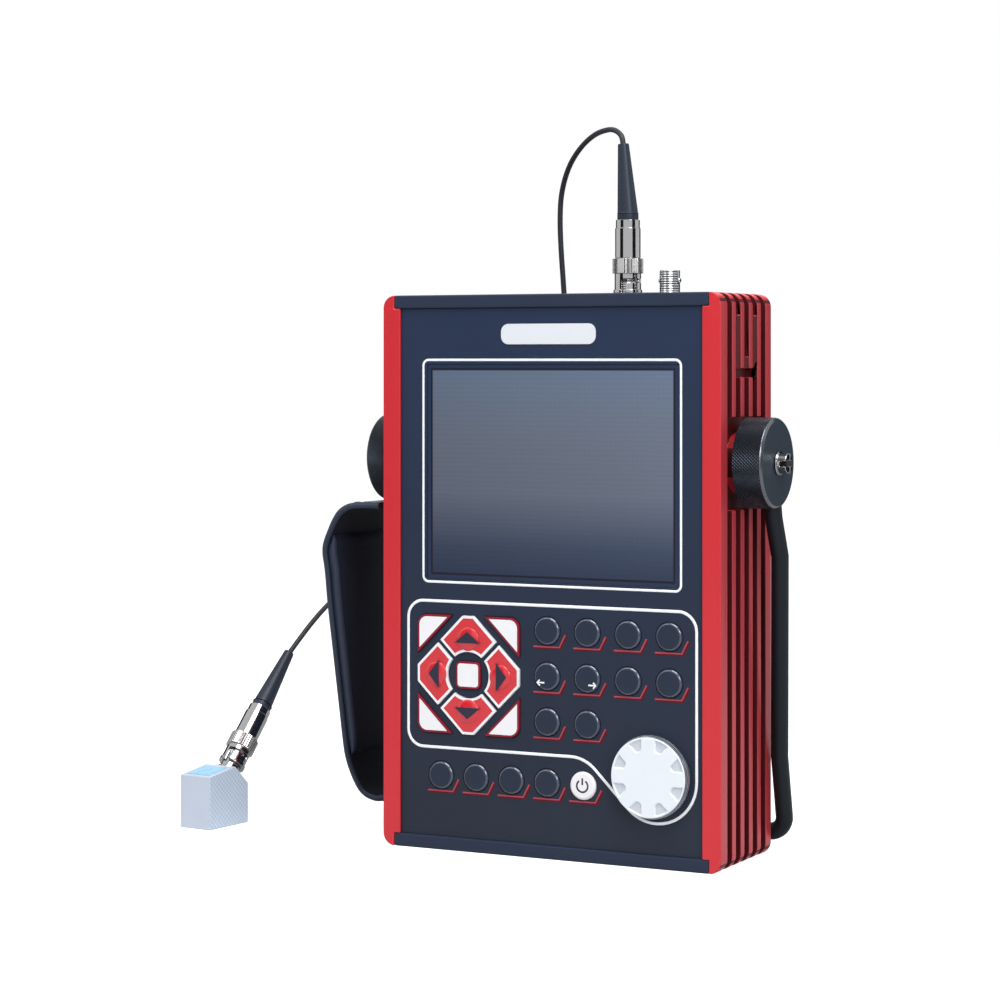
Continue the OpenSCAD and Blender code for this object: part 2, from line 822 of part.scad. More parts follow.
module battery_pack() {
    door_inside = cover_back - door_t;
    color([0.15, 0.30, 0.55])
        block([-battery_w / 2, door_inside - battery_t, battery_low],
              [battery_w / 2, door_inside, battery_low + battery_h]);
}

module door_places() {
    for (sx = [-1, 1], z = [door_low + door_screw_in, door_low + door_h - door_screw_in])
        translate([sx * (door_w / 2 - door_screw_in), 0, z]) children();
}

module battery_door() {
    color(navy) difference() {
        block([-door_w / 2 + fit, cover_back - door_t, door_low + fit],
              [door_w / 2 - fit, cover_back, door_low + door_h - fit]);
        door_places() rod_y(screw_r + fit, cover_back - door_t - overrun, cover_back + overrun);
    }
}

module rear_cover() {
    half_w = rail_in + plate_bite;
    color(navy) difference() {
        union() {
            block([-half_w, cover_y, cap_t], [half_w, cover_back, cap_under]);
            door_places() rod_y(insert_r, cover_y - insert_l, cover_y + small_r);
        }
        block([-door_w / 2, cover_back - door_t, door_low],
              [door_w / 2, cover_back + overrun, door_low + door_h]);
        block([-door_w / 2 + door_rim, cover_y - overrun, door_low + door_rim],
              [door_w / 2 - door_rim, cover_back, door_low + door_h - door_rim]);
        door_places() rod_y(screw_r + run_fit, cover_y - insert_l - overrun, cover_back);
    }
}

module case_screws() {
    color(bright_metal) {
        translate([0, 0, body_h - screw_l]) screw_places() drilled_screw();
        translate([0, 0, screw_l]) rotate([180, 0, 0]) screw_places() drilled_screw();
        door_places() difference() {
            union() {
                rod_y(screw_r, cover_y - insert_l + small_r, cover_back);
                rod_y(screw_head_r, cover_back, cover_back + screw_head_t);
            }
            translate([0, cover_back + screw_head_t - small_r, 0]) rotate([-90, 0, 0])
                cylinder(r = screw_r * 0.8, h = overrun + small_r, $fn = 6);
        }
    }
}

module drilled_screw() {
    difference() {
        countersink(0);
        translate([0, 0, screw_l - small_r])
            cylinder(r = screw_r * 0.8, h = small_r + overrun, $fn = 6);
    }
}

// Jacks and plugs, drawn with the seat at the origin and the mouth towards +Z

module jack() {
    difference() {
        cylinder(r = jack_d / 2, h = jack_h);
        translate([0, 0, jack_h - jack_bore_depth]) difference() {
            cylinder(r = jack_bore_r, h = jack_bore_depth + overrun);
            cylinder(r = jack_core_r, h = jack_bore_depth - jack_core_short);
        }
        translate([0, 0, plug_pin_low - small_r]) cylinder(r = jack_pin_r, h = jack_h);
    }
    for (s = [-1, 1])
        translate([0, 0, lug_z]) rotate([0, s * 90, 0]) difference() {
            cylinder(r = lug_r, h = lug_reach);
            cylinder(r = lug_r + overrun, h = (jack_bore_r + jack_d / 2) / 2);
        }
}

module signal_jacks() {
    color(bright_metal) for (x = [jack_left_x, jack_left_x + jack_pitch])
        translate([x, 0, body_h]) {
            jack();
            translate([0, 0, -jack_flange_t]) cylinder(r = jack_flange_r, h = jack_flange_t);
            translate([0, 0, -jack_flange_t - jack_thread_l])
                cylinder(r = jack_thread_r, h = jack_thread_l + small_r);
        }
}

module jack_nuts() {
    color(bright_metal) for (x = [jack_left_x, jack_left_x + jack_pitch])
        translate([x, 0, cap_under - nut_t]) difference() {
            cylinder(r = nut_across / sqrt(3), h = nut_t, $fn = 6);
            translate([0, 0, -overrun]) cylinder(r = jack_thread_r + run_fit, h = nut_t + 2 * overrun);
        }
}

// The bayonet slot for one lug: a mouth at the rim and a run around the shell
module bayonet_slot() {
    slot_half = lug_r + slot_gap;
    translate([0, 0, lug_z - slot_half]) rotate([0, 0, -slot_spare])
        rotate_extrude(angle = collar_turn + 2 * slot_spare)
            translate([collar_bore_r - small_r, 0])
                square([collar_rim_r - collar_bore_r + small_r + overrun, 2 * slot_half]);
    rotate([0, 0, collar_turn]) translate([collar_bore_r - small_r, -slot_half, 0])
        cube([collar_rim_r - collar_bore_r + small_r + overrun, 2 * slot_half, lug_z]);
}

module plug_collar() {
    difference() {
        union() {
            translate([0, 0, collar_gap]) cylinder(r = collar_rim_r, h = collar_rim_t);
            translate([0, 0, collar_gap]) cylinder(r = collar_shell_r, h = collar_shell_top);
            translate([0, 0, collar_shell_top]) cylinder(r = collar_grip_r, h = collar_grip_t);
        }
        cylinder(r = collar_bore_r, h = collar_top);
        translate([0, 0, neck_low - plug_gap]) cylinder(r = collar_neck_r, h = collar_top);
        for (turn = [0, 180]) rotate([0, 0, turn]) mirror([0, 1, 0]) bayonet_slot();
    }
}

module plug_body() {
    translate([0, 0, neck_low]) cylinder(r = plug_neck_r, h = plug_low - neck_low + small_r);
    translate([0, 0, plug_low]) cylinder(r = plug_body_r, h = plug_body_l);
    translate([0, 0, ring_low]) cylinder(r = plug_ring_r, h = plug_ring_l);
    difference() {
        translate([0, 0, plug_sleeve_low]) cylinder(r = plug_sleeve_r, h = neck_low);
        translate([0, 0, plug_sleeve_low - overrun])
            cylinder(r = plug_sleeve_in, h = jack_h - plug_sleeve_low + overrun);
    }
    translate([0, 0, plug_pin_low]) cylinder(r = plug_pin_r, h = neck_low);
}

module plug_boot(lean) {
    translate([0, 0, boot_low]) {
        cylinder(r = boot_r, h = boot_straight);
        translate([0, 0, boot_straight - boot_bite]) rotate([0, -lean, 0])
            cylinder(r1 = boot_r - boot_step, r2 = boot_tip_r, h = boot_l - boot_straight + boot_bite);
    }
}

module at_upper_jack() {
    translate([jack_left_x, 0, body_h]) children();
}

module at_probe() {
    translate([probe_x, probe_y, 0]) rotate([0, 0, probe_turn]) children();
}

module at_lower_jack() {
    at_probe() translate([0, seat_y, seat_z]) rotate([-seat_angle, 0, 0]) children();
}

module plug_body_upper() {
    color(bright_metal) at_upper_jack() plug_body();
}

module plug_collar_upper() {
    color(bright_metal) at_upper_jack() plug_collar();
}

module plug_boot_upper() {
    color(black_metal) at_upper_jack() plug_boot(boot_lean);
}

module plug_body_lower() {
    color(bright_metal) at_lower_jack() plug_body();
}

module plug_collar_lower() {
    color(bright_metal) at_lower_jack() plug_collar();
}

module plug_boot_lower() {
    color(black_metal) at_lower_jack() plug_boot(0);
}

// Probe: metal housing over a plastic wedge, jack on its sloping back corner

module probe_outline() {
    polygon([[-probe_l / 2, 0], [probe_l / 2, 0], [probe_l / 2, probe_back_z],
             [probe_peak_y, probe_peak_z], [-probe_l / 2, probe_h]]);
}

module probe_wedge_outline() {
    half = probe_l / 2 - probe_skin;
    polygon([[-half, 0], [half, 0], [half, probe_sole_h / 2], [-half / 2, probe_sole_h + probe_sole_h / 2],
             [-half, probe_sole_h + probe_sole_h / 2]]);
}

module probe_jack() {
    color(bright_metal) at_lower_jack() {
        jack();
        translate([0, 0, -seat_h - seat_sink]) cylinder(r = seat_neck_r, h = seat_h + seat_sink);
        translate([0, 0, -seat_h]) cylinder(r = seat_flange_r, h = seat_flange_t);
    }
}

module probe_housing() {
    half = probe_w / 2;
    color(grey_metal) difference() {
        at_probe() along_x(-half, half) probe_outline();
        at_probe() along_x(probe_skin - half, half - probe_skin) probe_wedge_outline();
        at_lower_jack() translate([0, 0, -seat_h - seat_sink])
            cylinder(r = seat_neck_r + run_fit, h = seat_sink + overrun);
    }
}

module probe_wedge() {
    half = probe_w / 2 - probe_skin - run_fit;
    color([0.85, 0.80, 0.55]) at_probe() along_x(-half, half) probe_wedge_outline();
}

module probe_label() {
    half = probe_w / 2 - label_in;
    color([0.55, 0.80, 0.95]) at_probe()
        translate([0, -probe_l / 2, probe_h]) rotate([top_slope, 0, 0])
            block([-half, label_in, 0], [half, label_in + label_l, label_t]);
}

// Handle: one bent rod, two hubs, the bolts they turn on, and the hand strap

module in_handle() {
    translate([0, 0, pivot_z]) rotate([handle_tilt, 0, 0]) children();
}

// Points of an arm in the handle's own X and Z plane
arm_path = [[side_x + arm_out, -arm_start], [side_x + arm_out, -arm_bend_a],
            [side_x + arm_wide, -arm_bend_b], [side_x + arm_in, -arm_bend_c],
            [side_x + arm_in, corner_bend - handle_r]];

// Puts its children on the arm's line, with Z running down piece i
module on_arm(i) {
    run = arm_path[i + 1] - arm_path[i];
    translate([arm_path[i][0], 0, arm_path[i][1]]) rotate([0, atan2(run[0], run[1]), 0]) children();
}

module arm_line(grow) {
    for (i = [0:len(arm_path) - 2])
        on_arm(i) cylinder(r = rod_d / 2 + grow, h = norm(arm_path[i + 1] - arm_path[i]));
    for (i = [1:len(arm_path) - 2])
        translate([arm_path[i][0], 0, arm_path[i][1]]) sphere(knee_r + grow);
}

module handle_arm() {
    arm_line(0);
    translate([side_x + arm_in - corner_bend, 0, corner_bend - handle_r]) rotate([-90, 0, 0])
        rotate_extrude(angle = 90) translate([corner_bend, 0]) circle(rod_d / 2);
}

module handle_rod() {
    bar_half = side_x + arm_in - corner_bend;
    color(black_metal) in_handle() {
        handle_arm();
        mirror([1, 0, 0]) handle_arm();
        translate([0, 0, -handle_r]) rod_x(rod_d / 2, -bar_half, bar_half);
    }
}

module handle_hub() {
    x0 = side_x + hub_gap;
    difference() {
        union() {
            rod_x(hub_d / 2, x0, side_x + hub_out - hub_edge);
            translate([side_x + hub_out - hub_edge, 0, 0]) rotate([0, 90, 0])
                cylinder(r1 = hub_d / 2, r2 = hub_d / 2 - hub_edge, h = hub_edge);
        }
        rod_x(bolt_d / 2 + run_fit, x0 - overrun, side_x + hub_out + overrun);
        translate([side_x + arm_out, 0, -hub_d]) cylinder(r = rod_d / 2, h = hub_d - arm_start);
    }
}

module handle_hubs() {
    color(black_metal) in_handle() {
        handle_hub();
        mirror([1, 0, 0]) handle_hub();
    }
}

module pivot_bolt() {
    seat = side_x + hub_out + bolt_gap;
    difference() {
        union() {
            rod_x(bolt_d / 2, rail_in - bolt_end, seat + washer_t);
            rod_x(washer_r, seat, seat + washer_t);
            rod_x(bolt_head_r, seat, seat + washer_t + bolt_head_t);
        }
        for (turn = [0, 90])
            translate([seat + washer_t + bolt_head_t - bolt_slot_depth, 0, 0]) rotate([turn, 0, 0])
                block([0, -bolt_slot / 2, -bolt_head_r - overrun],
                      [bolt_slot_depth + overrun, bolt_slot / 2, bolt_head_r + overrun]);
    }
}

module pivot_bolts() {
    color(bright_metal) translate([0, 0, pivot_z]) {
        pivot_bolt();
        mirror([1, 0, 0]) pivot_bolt();
    }
}

// The hand strap seen from the front: its outline and the space that a depth of it leaves

module strap_outline() {
    polygon(concat(
        [for (s = strap_outer_shares)
            [-side_x - s[0] * strap_reach, strap_low + s[1] * strap_height]],
        [[-side_x - strap_end_u, strap_end_z]]));
}

module strap_space(depth) {
    reach = strap_reach - depth;
    polygon(concat(
        [[-side_x + overrun, strap_top - depth]],
        [for (s = strap_inner_shares)
            [-side_x - s[0] * reach, strap_low + depth + s[1] * (strap_height - 2 * depth)]],
        [[-side_x - strap_end_u, strap_end_z + depth], [-side_x + overrun, strap_end_z + depth]]));
}

// The strap's width follows the tilted arm, with its ends level
module strap_side() {
    lean = bar_back / (pivot_z - bar_z);
    y_top = (pivot_z - strap_top) * lean;
    y_low = (pivot_z - strap_low) * lean;
    polygon([[y_top - strap_d / 2, strap_top], [y_top + strap_d / 2, strap_top],
             [y_low + strap_d / 2, strap_low], [y_low - strap_d / 2, strap_low]]);
}

// A clip around three quarters of the rod, open towards the case
module rod_clip() {
    clip_r = rod_d / 2 + fit + clip_t;
    difference() {
        cylinder(r = clip_r, h = clip_l);
        block([clip_share * rod_d, -clip_r - overrun, -overrun],
              [clip_r + overrun, clip_r + overrun, clip_l + overrun]);
    }
}

module hand_strap() {
    color(leather_black) difference() {
        union() {
            intersection() {
                along_y(-body_d, 2 * body_d) difference() {
                    strap_outline();
                    strap_space(strap_t);
                }
                along_x(-side_x - strap_reach - overrun, -side_x - small_r) strap_side();
            }
            in_handle() mirror([1, 0, 0]) on_arm(1) translate([0, 0, -clip_rise]) rod_clip();
            in_handle() mirror([1, 0, 0]) on_arm(3) translate([0, 0, clip_drop]) rod_clip();
        }
        in_handle() mirror([1, 0, 0]) arm_line(fit);
    }
}

module strap_pad() {
    color([0.10, 0.13, 0.22]) intersection() {
        along_y(-body_d, 2 * body_d) difference() {
            strap_space(strap_t + fit);
            strap_space(strap_t + fit + pad_t);
            translate([-side_x - strap_reach, strap_low + strap_height * cushion_top_share])
                square([strap_reach + overrun, strap_height]);
            translate([-side_x - strap_reach, 0])
                square([strap_reach + overrun, strap_low + strap_height * cushion_low_share]);
        }
        along_x(-side_x - strap_reach - overrun, -side_x - small_r) strap_side();
    }
}

// Lead: tubes along the free stretches, a ring for the coil

function unit(v) = v / norm(v);
function heading(p, i) = unit(p[min(i + 1, len(p) - 1)] - p[max(i - 1, 0)]);
function carried(n, t) = unit(n - t * (n * t));
function ring_point(c, n, t, a) = c + cord_r * (n * cos(a) + cross(t, n) * sin(a));

module cord_tube(route) {
    n0 = unit(cross(heading(route, 0), [0.3, 1, 0.2]));
    normals = [for (i = 0, n = n0; i < len(route); i = i + 1,
                    n = carried(n, heading(route, min(i, len(route) - 1)))) n];
    points = [for (i = [0:len(route) - 1], k = [0:cord_sides - 1])
                 ring_point(route[i], normals[i], heading(route, i), k * 360 / cord_sides)];
    last = (len(route) - 1) * cord_sides;
    sides = [for (i = [0:len(route) - 2], k = [0:cord_sides - 1])
                let (a = i * cord_sides + k, b = i * cord_sides + (k + 1) % cord_sides)
                [a, a + cord_sides, b + cord_sides, b]];
    ends = [[for (k = [0:cord_sides - 1]) k], [for (k = [cord_sides - 1:-1:0]) last + k]];
    polyhedron(points, concat(sides, ends));
}

module cord_upper() {
    color(black_metal) cord_tube(upper_route);
}

module cord_lower() {
    color(black_metal) cord_tube(lower_route);
}

module cord_coil() {
    color(black_metal) translate([coil_x, coil_y, 0]) rotate_extrude()
        translate([coil_mean_r - coil_half_w, 0]) square([2 * coil_half_w, coil_layers * cord_d]);
}

rail_left();
rail_right();
top_cap();
bottom_cap();
front_panel();
name_badge();
display_window();
display_module();
keypad_board();
dial_encoder();
dial();
main_board();
battery_pack();
battery_door();
rear_cover();
case_screws();
signal_jacks();
jack_nuts();
plug_body_upper();
plug_collar_upper();
plug_boot_upper();
plug_body_lower();
plug_collar_lower();
plug_boot_lower();
probe_jack();
probe_housing();
probe_wedge();
probe_label();
cord_upper();
cord_coil();
cord_lower();
handle_rod();
handle_hubs();
pivot_bolts();
hand_strap();
strap_pad();
round_key(key_x(0), key_z(0), navy);  // round_key_11
round_key(key_x(1), key_z(0), navy);  // round_key_12
round_key(key_x(2), key_z(0), navy);  // round_key_13
round_key(key_x(3), key_z(0), navy);  // round_key_14
round_key(key_x(0), key_z(1), navy);  // round_key_21
round_key(key_x(1), key_z(1), navy);  // round_key_22
round_key(key_x(2), key_z(1), navy);  // round_key_23
round_key(key_x(3), key_z(1), navy);  // round_key_24
round_key(key_x(0), key_z(2), navy);  // round_key_31
round_key(key_x(1), key_z(2), navy);  // round_key_32
round_key(lower_x(0), lower_row_z, navy);  // lower_key_1
round_key(lower_x(1), lower_row_z, navy);  // lower_key_2
round_key(lower_x(2), lower_row_z, navy);  // lower_key_3
round_key(lower_x(3), lower_row_z, navy);  // lower_key_4
round_key(power_x, lower_row_z, key_white);  // power_key
cursor_key(0, pad_half_h);  // cursor_up
cursor_key(180, pad_half_h);  // cursor_down
cursor_key(90, pad_half_w);  // cursor_left
cursor_key(-90, pad_half_w);  // cursor_right
cursor_enter();
corner_key(-1, 1);  // gain_down_key
corner_key(1, 1);  // gain_up_key
corner_key(-1, -1);  // escape_key
corner_key(1, -1);  // confirm_key
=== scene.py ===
import json
import math

import bpy
from mathutils import Matrix, Vector

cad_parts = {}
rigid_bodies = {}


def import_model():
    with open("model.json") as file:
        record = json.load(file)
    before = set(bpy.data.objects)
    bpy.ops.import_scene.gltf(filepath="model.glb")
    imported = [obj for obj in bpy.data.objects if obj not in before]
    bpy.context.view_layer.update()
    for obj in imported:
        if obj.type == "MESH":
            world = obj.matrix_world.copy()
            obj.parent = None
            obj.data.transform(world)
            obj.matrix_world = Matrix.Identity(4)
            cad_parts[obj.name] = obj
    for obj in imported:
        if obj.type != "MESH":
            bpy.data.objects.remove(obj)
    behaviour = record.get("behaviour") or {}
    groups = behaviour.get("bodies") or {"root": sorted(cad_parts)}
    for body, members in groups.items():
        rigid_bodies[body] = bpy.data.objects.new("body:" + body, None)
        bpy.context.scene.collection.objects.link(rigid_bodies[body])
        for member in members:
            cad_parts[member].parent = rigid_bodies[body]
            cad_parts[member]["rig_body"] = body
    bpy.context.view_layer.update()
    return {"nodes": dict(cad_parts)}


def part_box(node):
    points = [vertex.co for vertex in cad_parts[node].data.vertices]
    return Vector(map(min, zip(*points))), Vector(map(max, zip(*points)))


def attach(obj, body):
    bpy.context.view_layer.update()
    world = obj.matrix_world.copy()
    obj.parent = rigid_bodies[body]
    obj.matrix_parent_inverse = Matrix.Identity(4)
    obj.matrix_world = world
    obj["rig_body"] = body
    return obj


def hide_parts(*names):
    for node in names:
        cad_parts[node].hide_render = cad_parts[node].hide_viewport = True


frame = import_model()
nodes = frame["nodes"]

# The camera stands to the right of the instrument, level with the middle of its screen.
# Its place, lens and rise were fitted to the case's edges, and the picture is square.
camera_place = (0.5612, -1.1788, 0.2316)
camera_turn = math.radians(27.03)
camera_lens = 98.96
camera_drop = -0.1388
bpy.ops.object.camera_add(location=camera_place, rotation=(math.pi / 2, 0, camera_turn))
camera = bpy.context.object
camera.name = "camera"
camera.data.lens = camera_lens
camera.data.shift_y = camera_drop
camera.data.clip_start = 0.05
camera.data.clip_end = 50
bpy.context.scene.camera = camera
bpy.context.scene.view_settings.view_transform = "Standard"

# A pale floor, a white surround and three soft lamps. Four dark cards around the object,
# which only reflections see, give the bright metal its dark streaks.
floor_half = 6.0
floor_grey = (0.6, 0.6, 0.6, 1)
floor_rough, floor_shine, floor_lift = 0.9, 0.1, 0.82
surround_light = 0.3
white = (1, 1, 1, 1)
lamps = {"key_lamp": ((-1.3, -1.6, 1.5), 1.3, 13), "fill_lamp": ((1.7, -1.3, 1.1), 0.9, 21),
         "top_lamp": ((0.3, -0.35, 1.4), 0.95, 19.5)}
lamp_target = Vector((0, 0, 0.13))
card_turns = (75, 150, 237, 352)
card_reach, card_w, card_h = 1.6, 0.9, 1.3
card_tone = (0.01, 0.01, 0.012, 1)

for name, (place, size, power) in lamps.items():
    bpy.ops.object.light_add(type="AREA", location=place)
    lamp = bpy.context.object
    lamp.name = name
    lamp.data.shape = "DISK"
    lamp.data.size = size
    lamp.data.energy = power
    lamp.rotation_euler = (Vector(place) - lamp_target).to_track_quat("Z", "Y").to_euler()

card_black = bpy.data.materials.new("card_black")
card_black.use_nodes = True
card_shader = card_black.node_tree.nodes["Principled BSDF"]
card_shader.inputs["Base Color"].default_value = card_tone
card_shader.inputs["Roughness"].default_value = 1
for turn in card_turns:
    angle = math.radians(turn)
    bpy.ops.mesh.primitive_plane_add(
        size=1, location=(card_reach * math.cos(angle), card_reach * math.sin(angle), card_h / 2),
        rotation=(math.pi / 2, 0, angle + math.pi / 2))
    card = bpy.context.object
    card.name = "dark_card_%d" % turn
    card.scale = (card_w, card_h, 1)
    card.data.materials.append(card_black)
    card.visible_camera = False
    card.visible_diffuse = False
    card.visible_transmission = False
    card.visible_shadow = False


def feed(tree, socket, value):
    """Gives an input the output of another node, or a plain value."""
    if isinstance(value, bpy.types.NodeSocket):
        tree.links.new(value, socket)
    else:
        socket.default_value = value


def math_node(tree, operation, *inputs):
    """A Math node whose inputs are sockets or numbers, and its result."""
    made = tree.nodes.new("ShaderNodeMath")
    made.operation = operation
    for socket, value in zip(made.inputs, inputs):
        feed(tree, socket, value)
    return made.outputs[0]


world = bpy.data.worlds.new("studio")
bpy.context.scene.world = world
world.use_nodes = True
world_tree = world.node_tree
world_tree.nodes.clear()
ray = world_tree.nodes.new("ShaderNodeLightPath").outputs
seen = math_node(world_tree, "MAXIMUM", ray["Is Camera Ray"], ray["Is Transmission Ray"])
room_mix = world_tree.nodes.new("ShaderNodeMixShader")
feed(world_tree, room_mix.inputs[0], math_node(world_tree, "MAXIMUM", seen, ray["Is Glossy Ray"]))
for side, strength in ((1, surround_light), (2, 1)):
    room = world_tree.nodes.new("ShaderNodeBackground")
    feed(world_tree, room.inputs["Color"], white)
    feed(world_tree, room.inputs["Strength"], strength)
    feed(world_tree, room_mix.inputs[side], room.outputs[0])
room_out = world_tree.nodes.new("ShaderNodeOutputWorld")
feed(world_tree, room_out.inputs["Surface"], room_mix.outputs[0])

bpy.ops.mesh.primitive_plane_add(size=2 * floor_half, location=(0, 0, 0))
floor = bpy.context.object
floor.name = "floor"
floor_paper = bpy.data.materials.new("floor_paper")
floor_paper.use_nodes = True
floor_tree = floor_paper.node_tree
floor_base = floor_tree.nodes["Principled BSDF"]
feed(floor_tree, floor_base.inputs["Base Color"], floor_grey)
feed(floor_tree, floor_base.inputs["Roughness"], floor_rough)
feed(floor_tree, floor_base.inputs["Specular IOR Level"], floor_shine)
floor_ray = floor_tree.nodes.new("ShaderNodeLightPath").outputs["Is Camera Ray"]
floor_glow = floor_tree.nodes.new("ShaderNodeEmission")
feed(floor_tree, floor_glow.inputs["Strength"],
     math_node(floor_tree, "MULTIPLY", floor_ray, floor_lift))
floor_sum = floor_tree.nodes.new("ShaderNodeAddShader")
feed(floor_tree, floor_sum.inputs[0], floor_base.outputs[0])
feed(floor_tree, floor_sum.inputs[1], floor_glow.outputs[0])
feed(floor_tree, floor_tree.nodes["Material Output"].inputs["Surface"], floor_sum.outputs[0])
floor.data.materials.append(floor_paper)


# The lead: a thin black coaxial cable, 1.35 m long. It leaves the upper plug's boot, falls behind
# the case, lies behind it in a coil held by two ties, and rises to the probe's plug.
lead_r = 0.0013
lead_exit = (0.0251, 0, 0.332)
lead_down = [
    lead_exit, (0.024, 0.0008, 0.3366), (0.022, 0.0022, 0.339), (0.018, 0.0046, 0.341),
    (0.013, 0.0075, 0.3414), (0.005, 0.012, 0.34), (-0.004, 0.0175, 0.3358),
    (-0.0125, 0.023, 0.329), (-0.0185, 0.0275, 0.321), (-0.022, 0.0302, 0.312),
    (-0.0229, 0.0308, 0.303),
    (-0.0228, 0.0308, 0.294), (-0.0222, 0.0308, 0.283), (-0.0212, 0.0308, 0.27),
    (-0.0203, 0.0308, 0.255),
    *[(-0.02, 0.0308, z) for z in (0.23, 0.19, 0.15, 0.11, 0.07, 0.04, 0.022, 0.0117)],
    (-0.02, 0.0316, 0.0077), (-0.02, 0.03385, 0.00435),
    (-0.02, 0.0372, 0.0021), (-0.02, 0.0412, 0.0013), (-0.0213, 0.049, 0.0013),
    (-0.025, 0.057, 0.0013), (-0.0305, 0.065, 0.0013), (-0.036, 0.073, 0.0013),
    (-0.04, 0.081, 0.0013)]
lead_up = [
    (-0.067, 0.1075, 0.0034), (-0.074, 0.108, 0.0022), (-0.082, 0.1085, 0.0014),
    (-0.092, 0.109, 0.0013), (-0.101, 0.11, 0.003), (-0.1105, 0.1125, 0.0095),
    (-0.119, 0.1155, 0.0215), (-0.126, 0.1185, 0.038), (-0.1315, 0.12, 0.057),
    (-0.137, 0.1185, 0.076), (-0.147, 0.1155, 0.093), (-0.158, 0.1105, 0.104),
    (-0.168, 0.103, 0.1095), (-0.175, 0.093, 0.11), (-0.1785, 0.082, 0.107),
    (-0.1798, 0.071, 0.1018), (-0.1811, 0.0594, 0.0946), (-0.1823, 0.0492, 0.0872),
    (-0.1835, 0.0388, 0.0792)]
coil_centre = (-0.06, 0.088)
coil_outer_r = 0.0189
coil_inner_r = 0.0111
coil_pitch = 2 * lead_r
coil_turns = 3
turn_steps = 28
tie_turns = (0.36, 0.86)
tie_r = 0.00045
tie_low, tie_high = 0.0005, 0.0055
tie_inner, tie_outer = 0.0091, 0.0209
tie_corner, tie_steps = 0.0016, 4
lead_steps = 4


def smooth_through(points, steps):
    """Points of a smooth curve through the given ones."""
    points = [Vector(p) for p in points]
    padded = [2 * points[0] - points[1]] + points + [2 * points[-1] - points[-2]]
    found = []
    for i in range(1, len(padded) - 2):
        a, b, c, d = padded[i - 1:i + 3]
        for k in range(steps):
            t = k / steps
            found.append(0.5 * (2 * b + (c - a) * t + (2 * a - 5 * b + 4 * c - d) * t * t
                                + (3 * b - a - 3 * c + d) * t ** 3))
    return found + [points[-1]]


def coil_point(turn, radius, height):
    angle = turn * 2 * math.pi
    return (coil_centre[0] + radius * math.cos(angle), coil_centre[1] + radius * math.sin(angle),
            height)


coil_line = []
for i in range(coil_turns * turn_steps):
    turn = i / turn_steps
    coil_line.append(coil_point(turn, coil_outer_r - coil_pitch * turn, lead_r))
for i in range(turn_steps):
    turn = i / turn_steps
    inner = coil_inner_r + coil_pitch * (1 - turn - math.sqrt(1 - turn * turn))
    coil_line.append(coil_point(turn, inner, lead_r + coil_pitch * turn))
for i in range(coil_turns * turn_steps):
    turn = i / turn_steps
    coil_line.append(coil_point(turn, coil_inner_r + coil_pitch * turn, lead_r + coil_pitch))
for i in range(turn_steps // 4 + 1):
    coil_line.append(coil_point(i / turn_steps, coil_outer_r, lead_r + coil_pitch))
lead_line = (smooth_through(lead_down + [coil_line[0]], lead_steps)[:-1]
             + [Vector(p) for p in coil_line]
             + smooth_through([coil_line[-1]] + lead_up, lead_steps)[1:])


def select_only(piece):
    bpy.ops.object.select_all(action="DESELECT")
    bpy.context.view_layer.objects.active = piece
    piece.select_set(True)


def drawn_bars(name, lines, radius, closed=False, sides=3):
    """Round bars along lines of points, as one mesh."""
    curve = bpy.data.curves.new(name, "CURVE")
    curve.dimensions = "3D"
    curve.bevel_depth = radius
    curve.bevel_resolution = sides
    curve.use_fill_caps = True
    for points in lines:
        spline = curve.splines.new("POLY")
        spline.points.add(len(points) - 1)
        for point, place in zip(spline.points, points):
            point.co = (*place, 1)
        spline.use_cyclic_u = closed
    bars = bpy.data.objects.new(name, curve)
    bpy.context.scene.collection.objects.link(bars)
    select_only(bars)
    bpy.ops.object.convert(target="MESH")
    bpy.ops.object.shade_smooth()
    return bpy.context.object


lead = drawn_bars("probe_lead", [lead_line], lead_r)
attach(lead, "case")
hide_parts("cord_upper", "cord_coil", "cord_lower")


def tie_loop(turn, shift):
    """A loop round the section of the coil, shifted along its turns."""
    angle = turn * 2 * math.pi
    out = Vector((math.cos(angle), math.sin(angle), 0))
    along = Vector((-math.sin(angle), math.cos(angle), 0))
    middle = Vector((*coil_centre, 0)) + along * shift
    corners = ((tie_inner, tie_low, 180), (tie_outer, tie_low, 270),
               (tie_outer, tie_high, 0), (tie_inner, tie_high, 90))
    found = []
    for radius, height, start in corners:
        r = radius + (tie_corner if radius == tie_inner else -tie_corner)
        z = height + (tie_corner if height == tie_low else -tie_corner)
        for k in range(tie_steps + 1):
            bend = math.radians(start + 90 * k / tie_steps)
            found.append(middle + out * (r + tie_corner * math.cos(bend))
                         + Vector((0, 0, z + tie_corner * math.sin(bend))))
    return found


ties = []
for i, turn in enumerate(tie_turns):
    loops = [tie_loop(turn, shift * 2 * tie_r) for shift in (-1, 0, 1)]
    ties.append(drawn_bars("coil_tie_%d" % (i + 1), loops, tie_r, True, 2))
    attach(ties[-1], "case")


def channel(value):
    share = value / 255
    return share / 12.92 if share <= 0.04045 else ((share + 0.055) / 1.055) ** 2.4


def tint(red, green, blue):
    """A colour as it looks on paper, 0 to 255 each."""
    return (channel(red), channel(green), channel(blue), 1)


def scaled(tree, colour, factor):
    """A colour times a factor."""
    made = tree.nodes.new("ShaderNodeVectorMath")
    made.operation = "SCALE"
    feed(tree, made.inputs[0], colour)
    feed(tree, made.inputs["Scale"], factor)
    return made.outputs[0]


coat_rough = 0.12


def noise(tree, place, detail, scale):
    made = tree.nodes.new("ShaderNodeTexNoise")
    for label, value in (("Vector", place), ("Detail", detail), ("Scale", scale)):
        feed(tree, made.inputs[label], value)
    return made.outputs["Fac"]


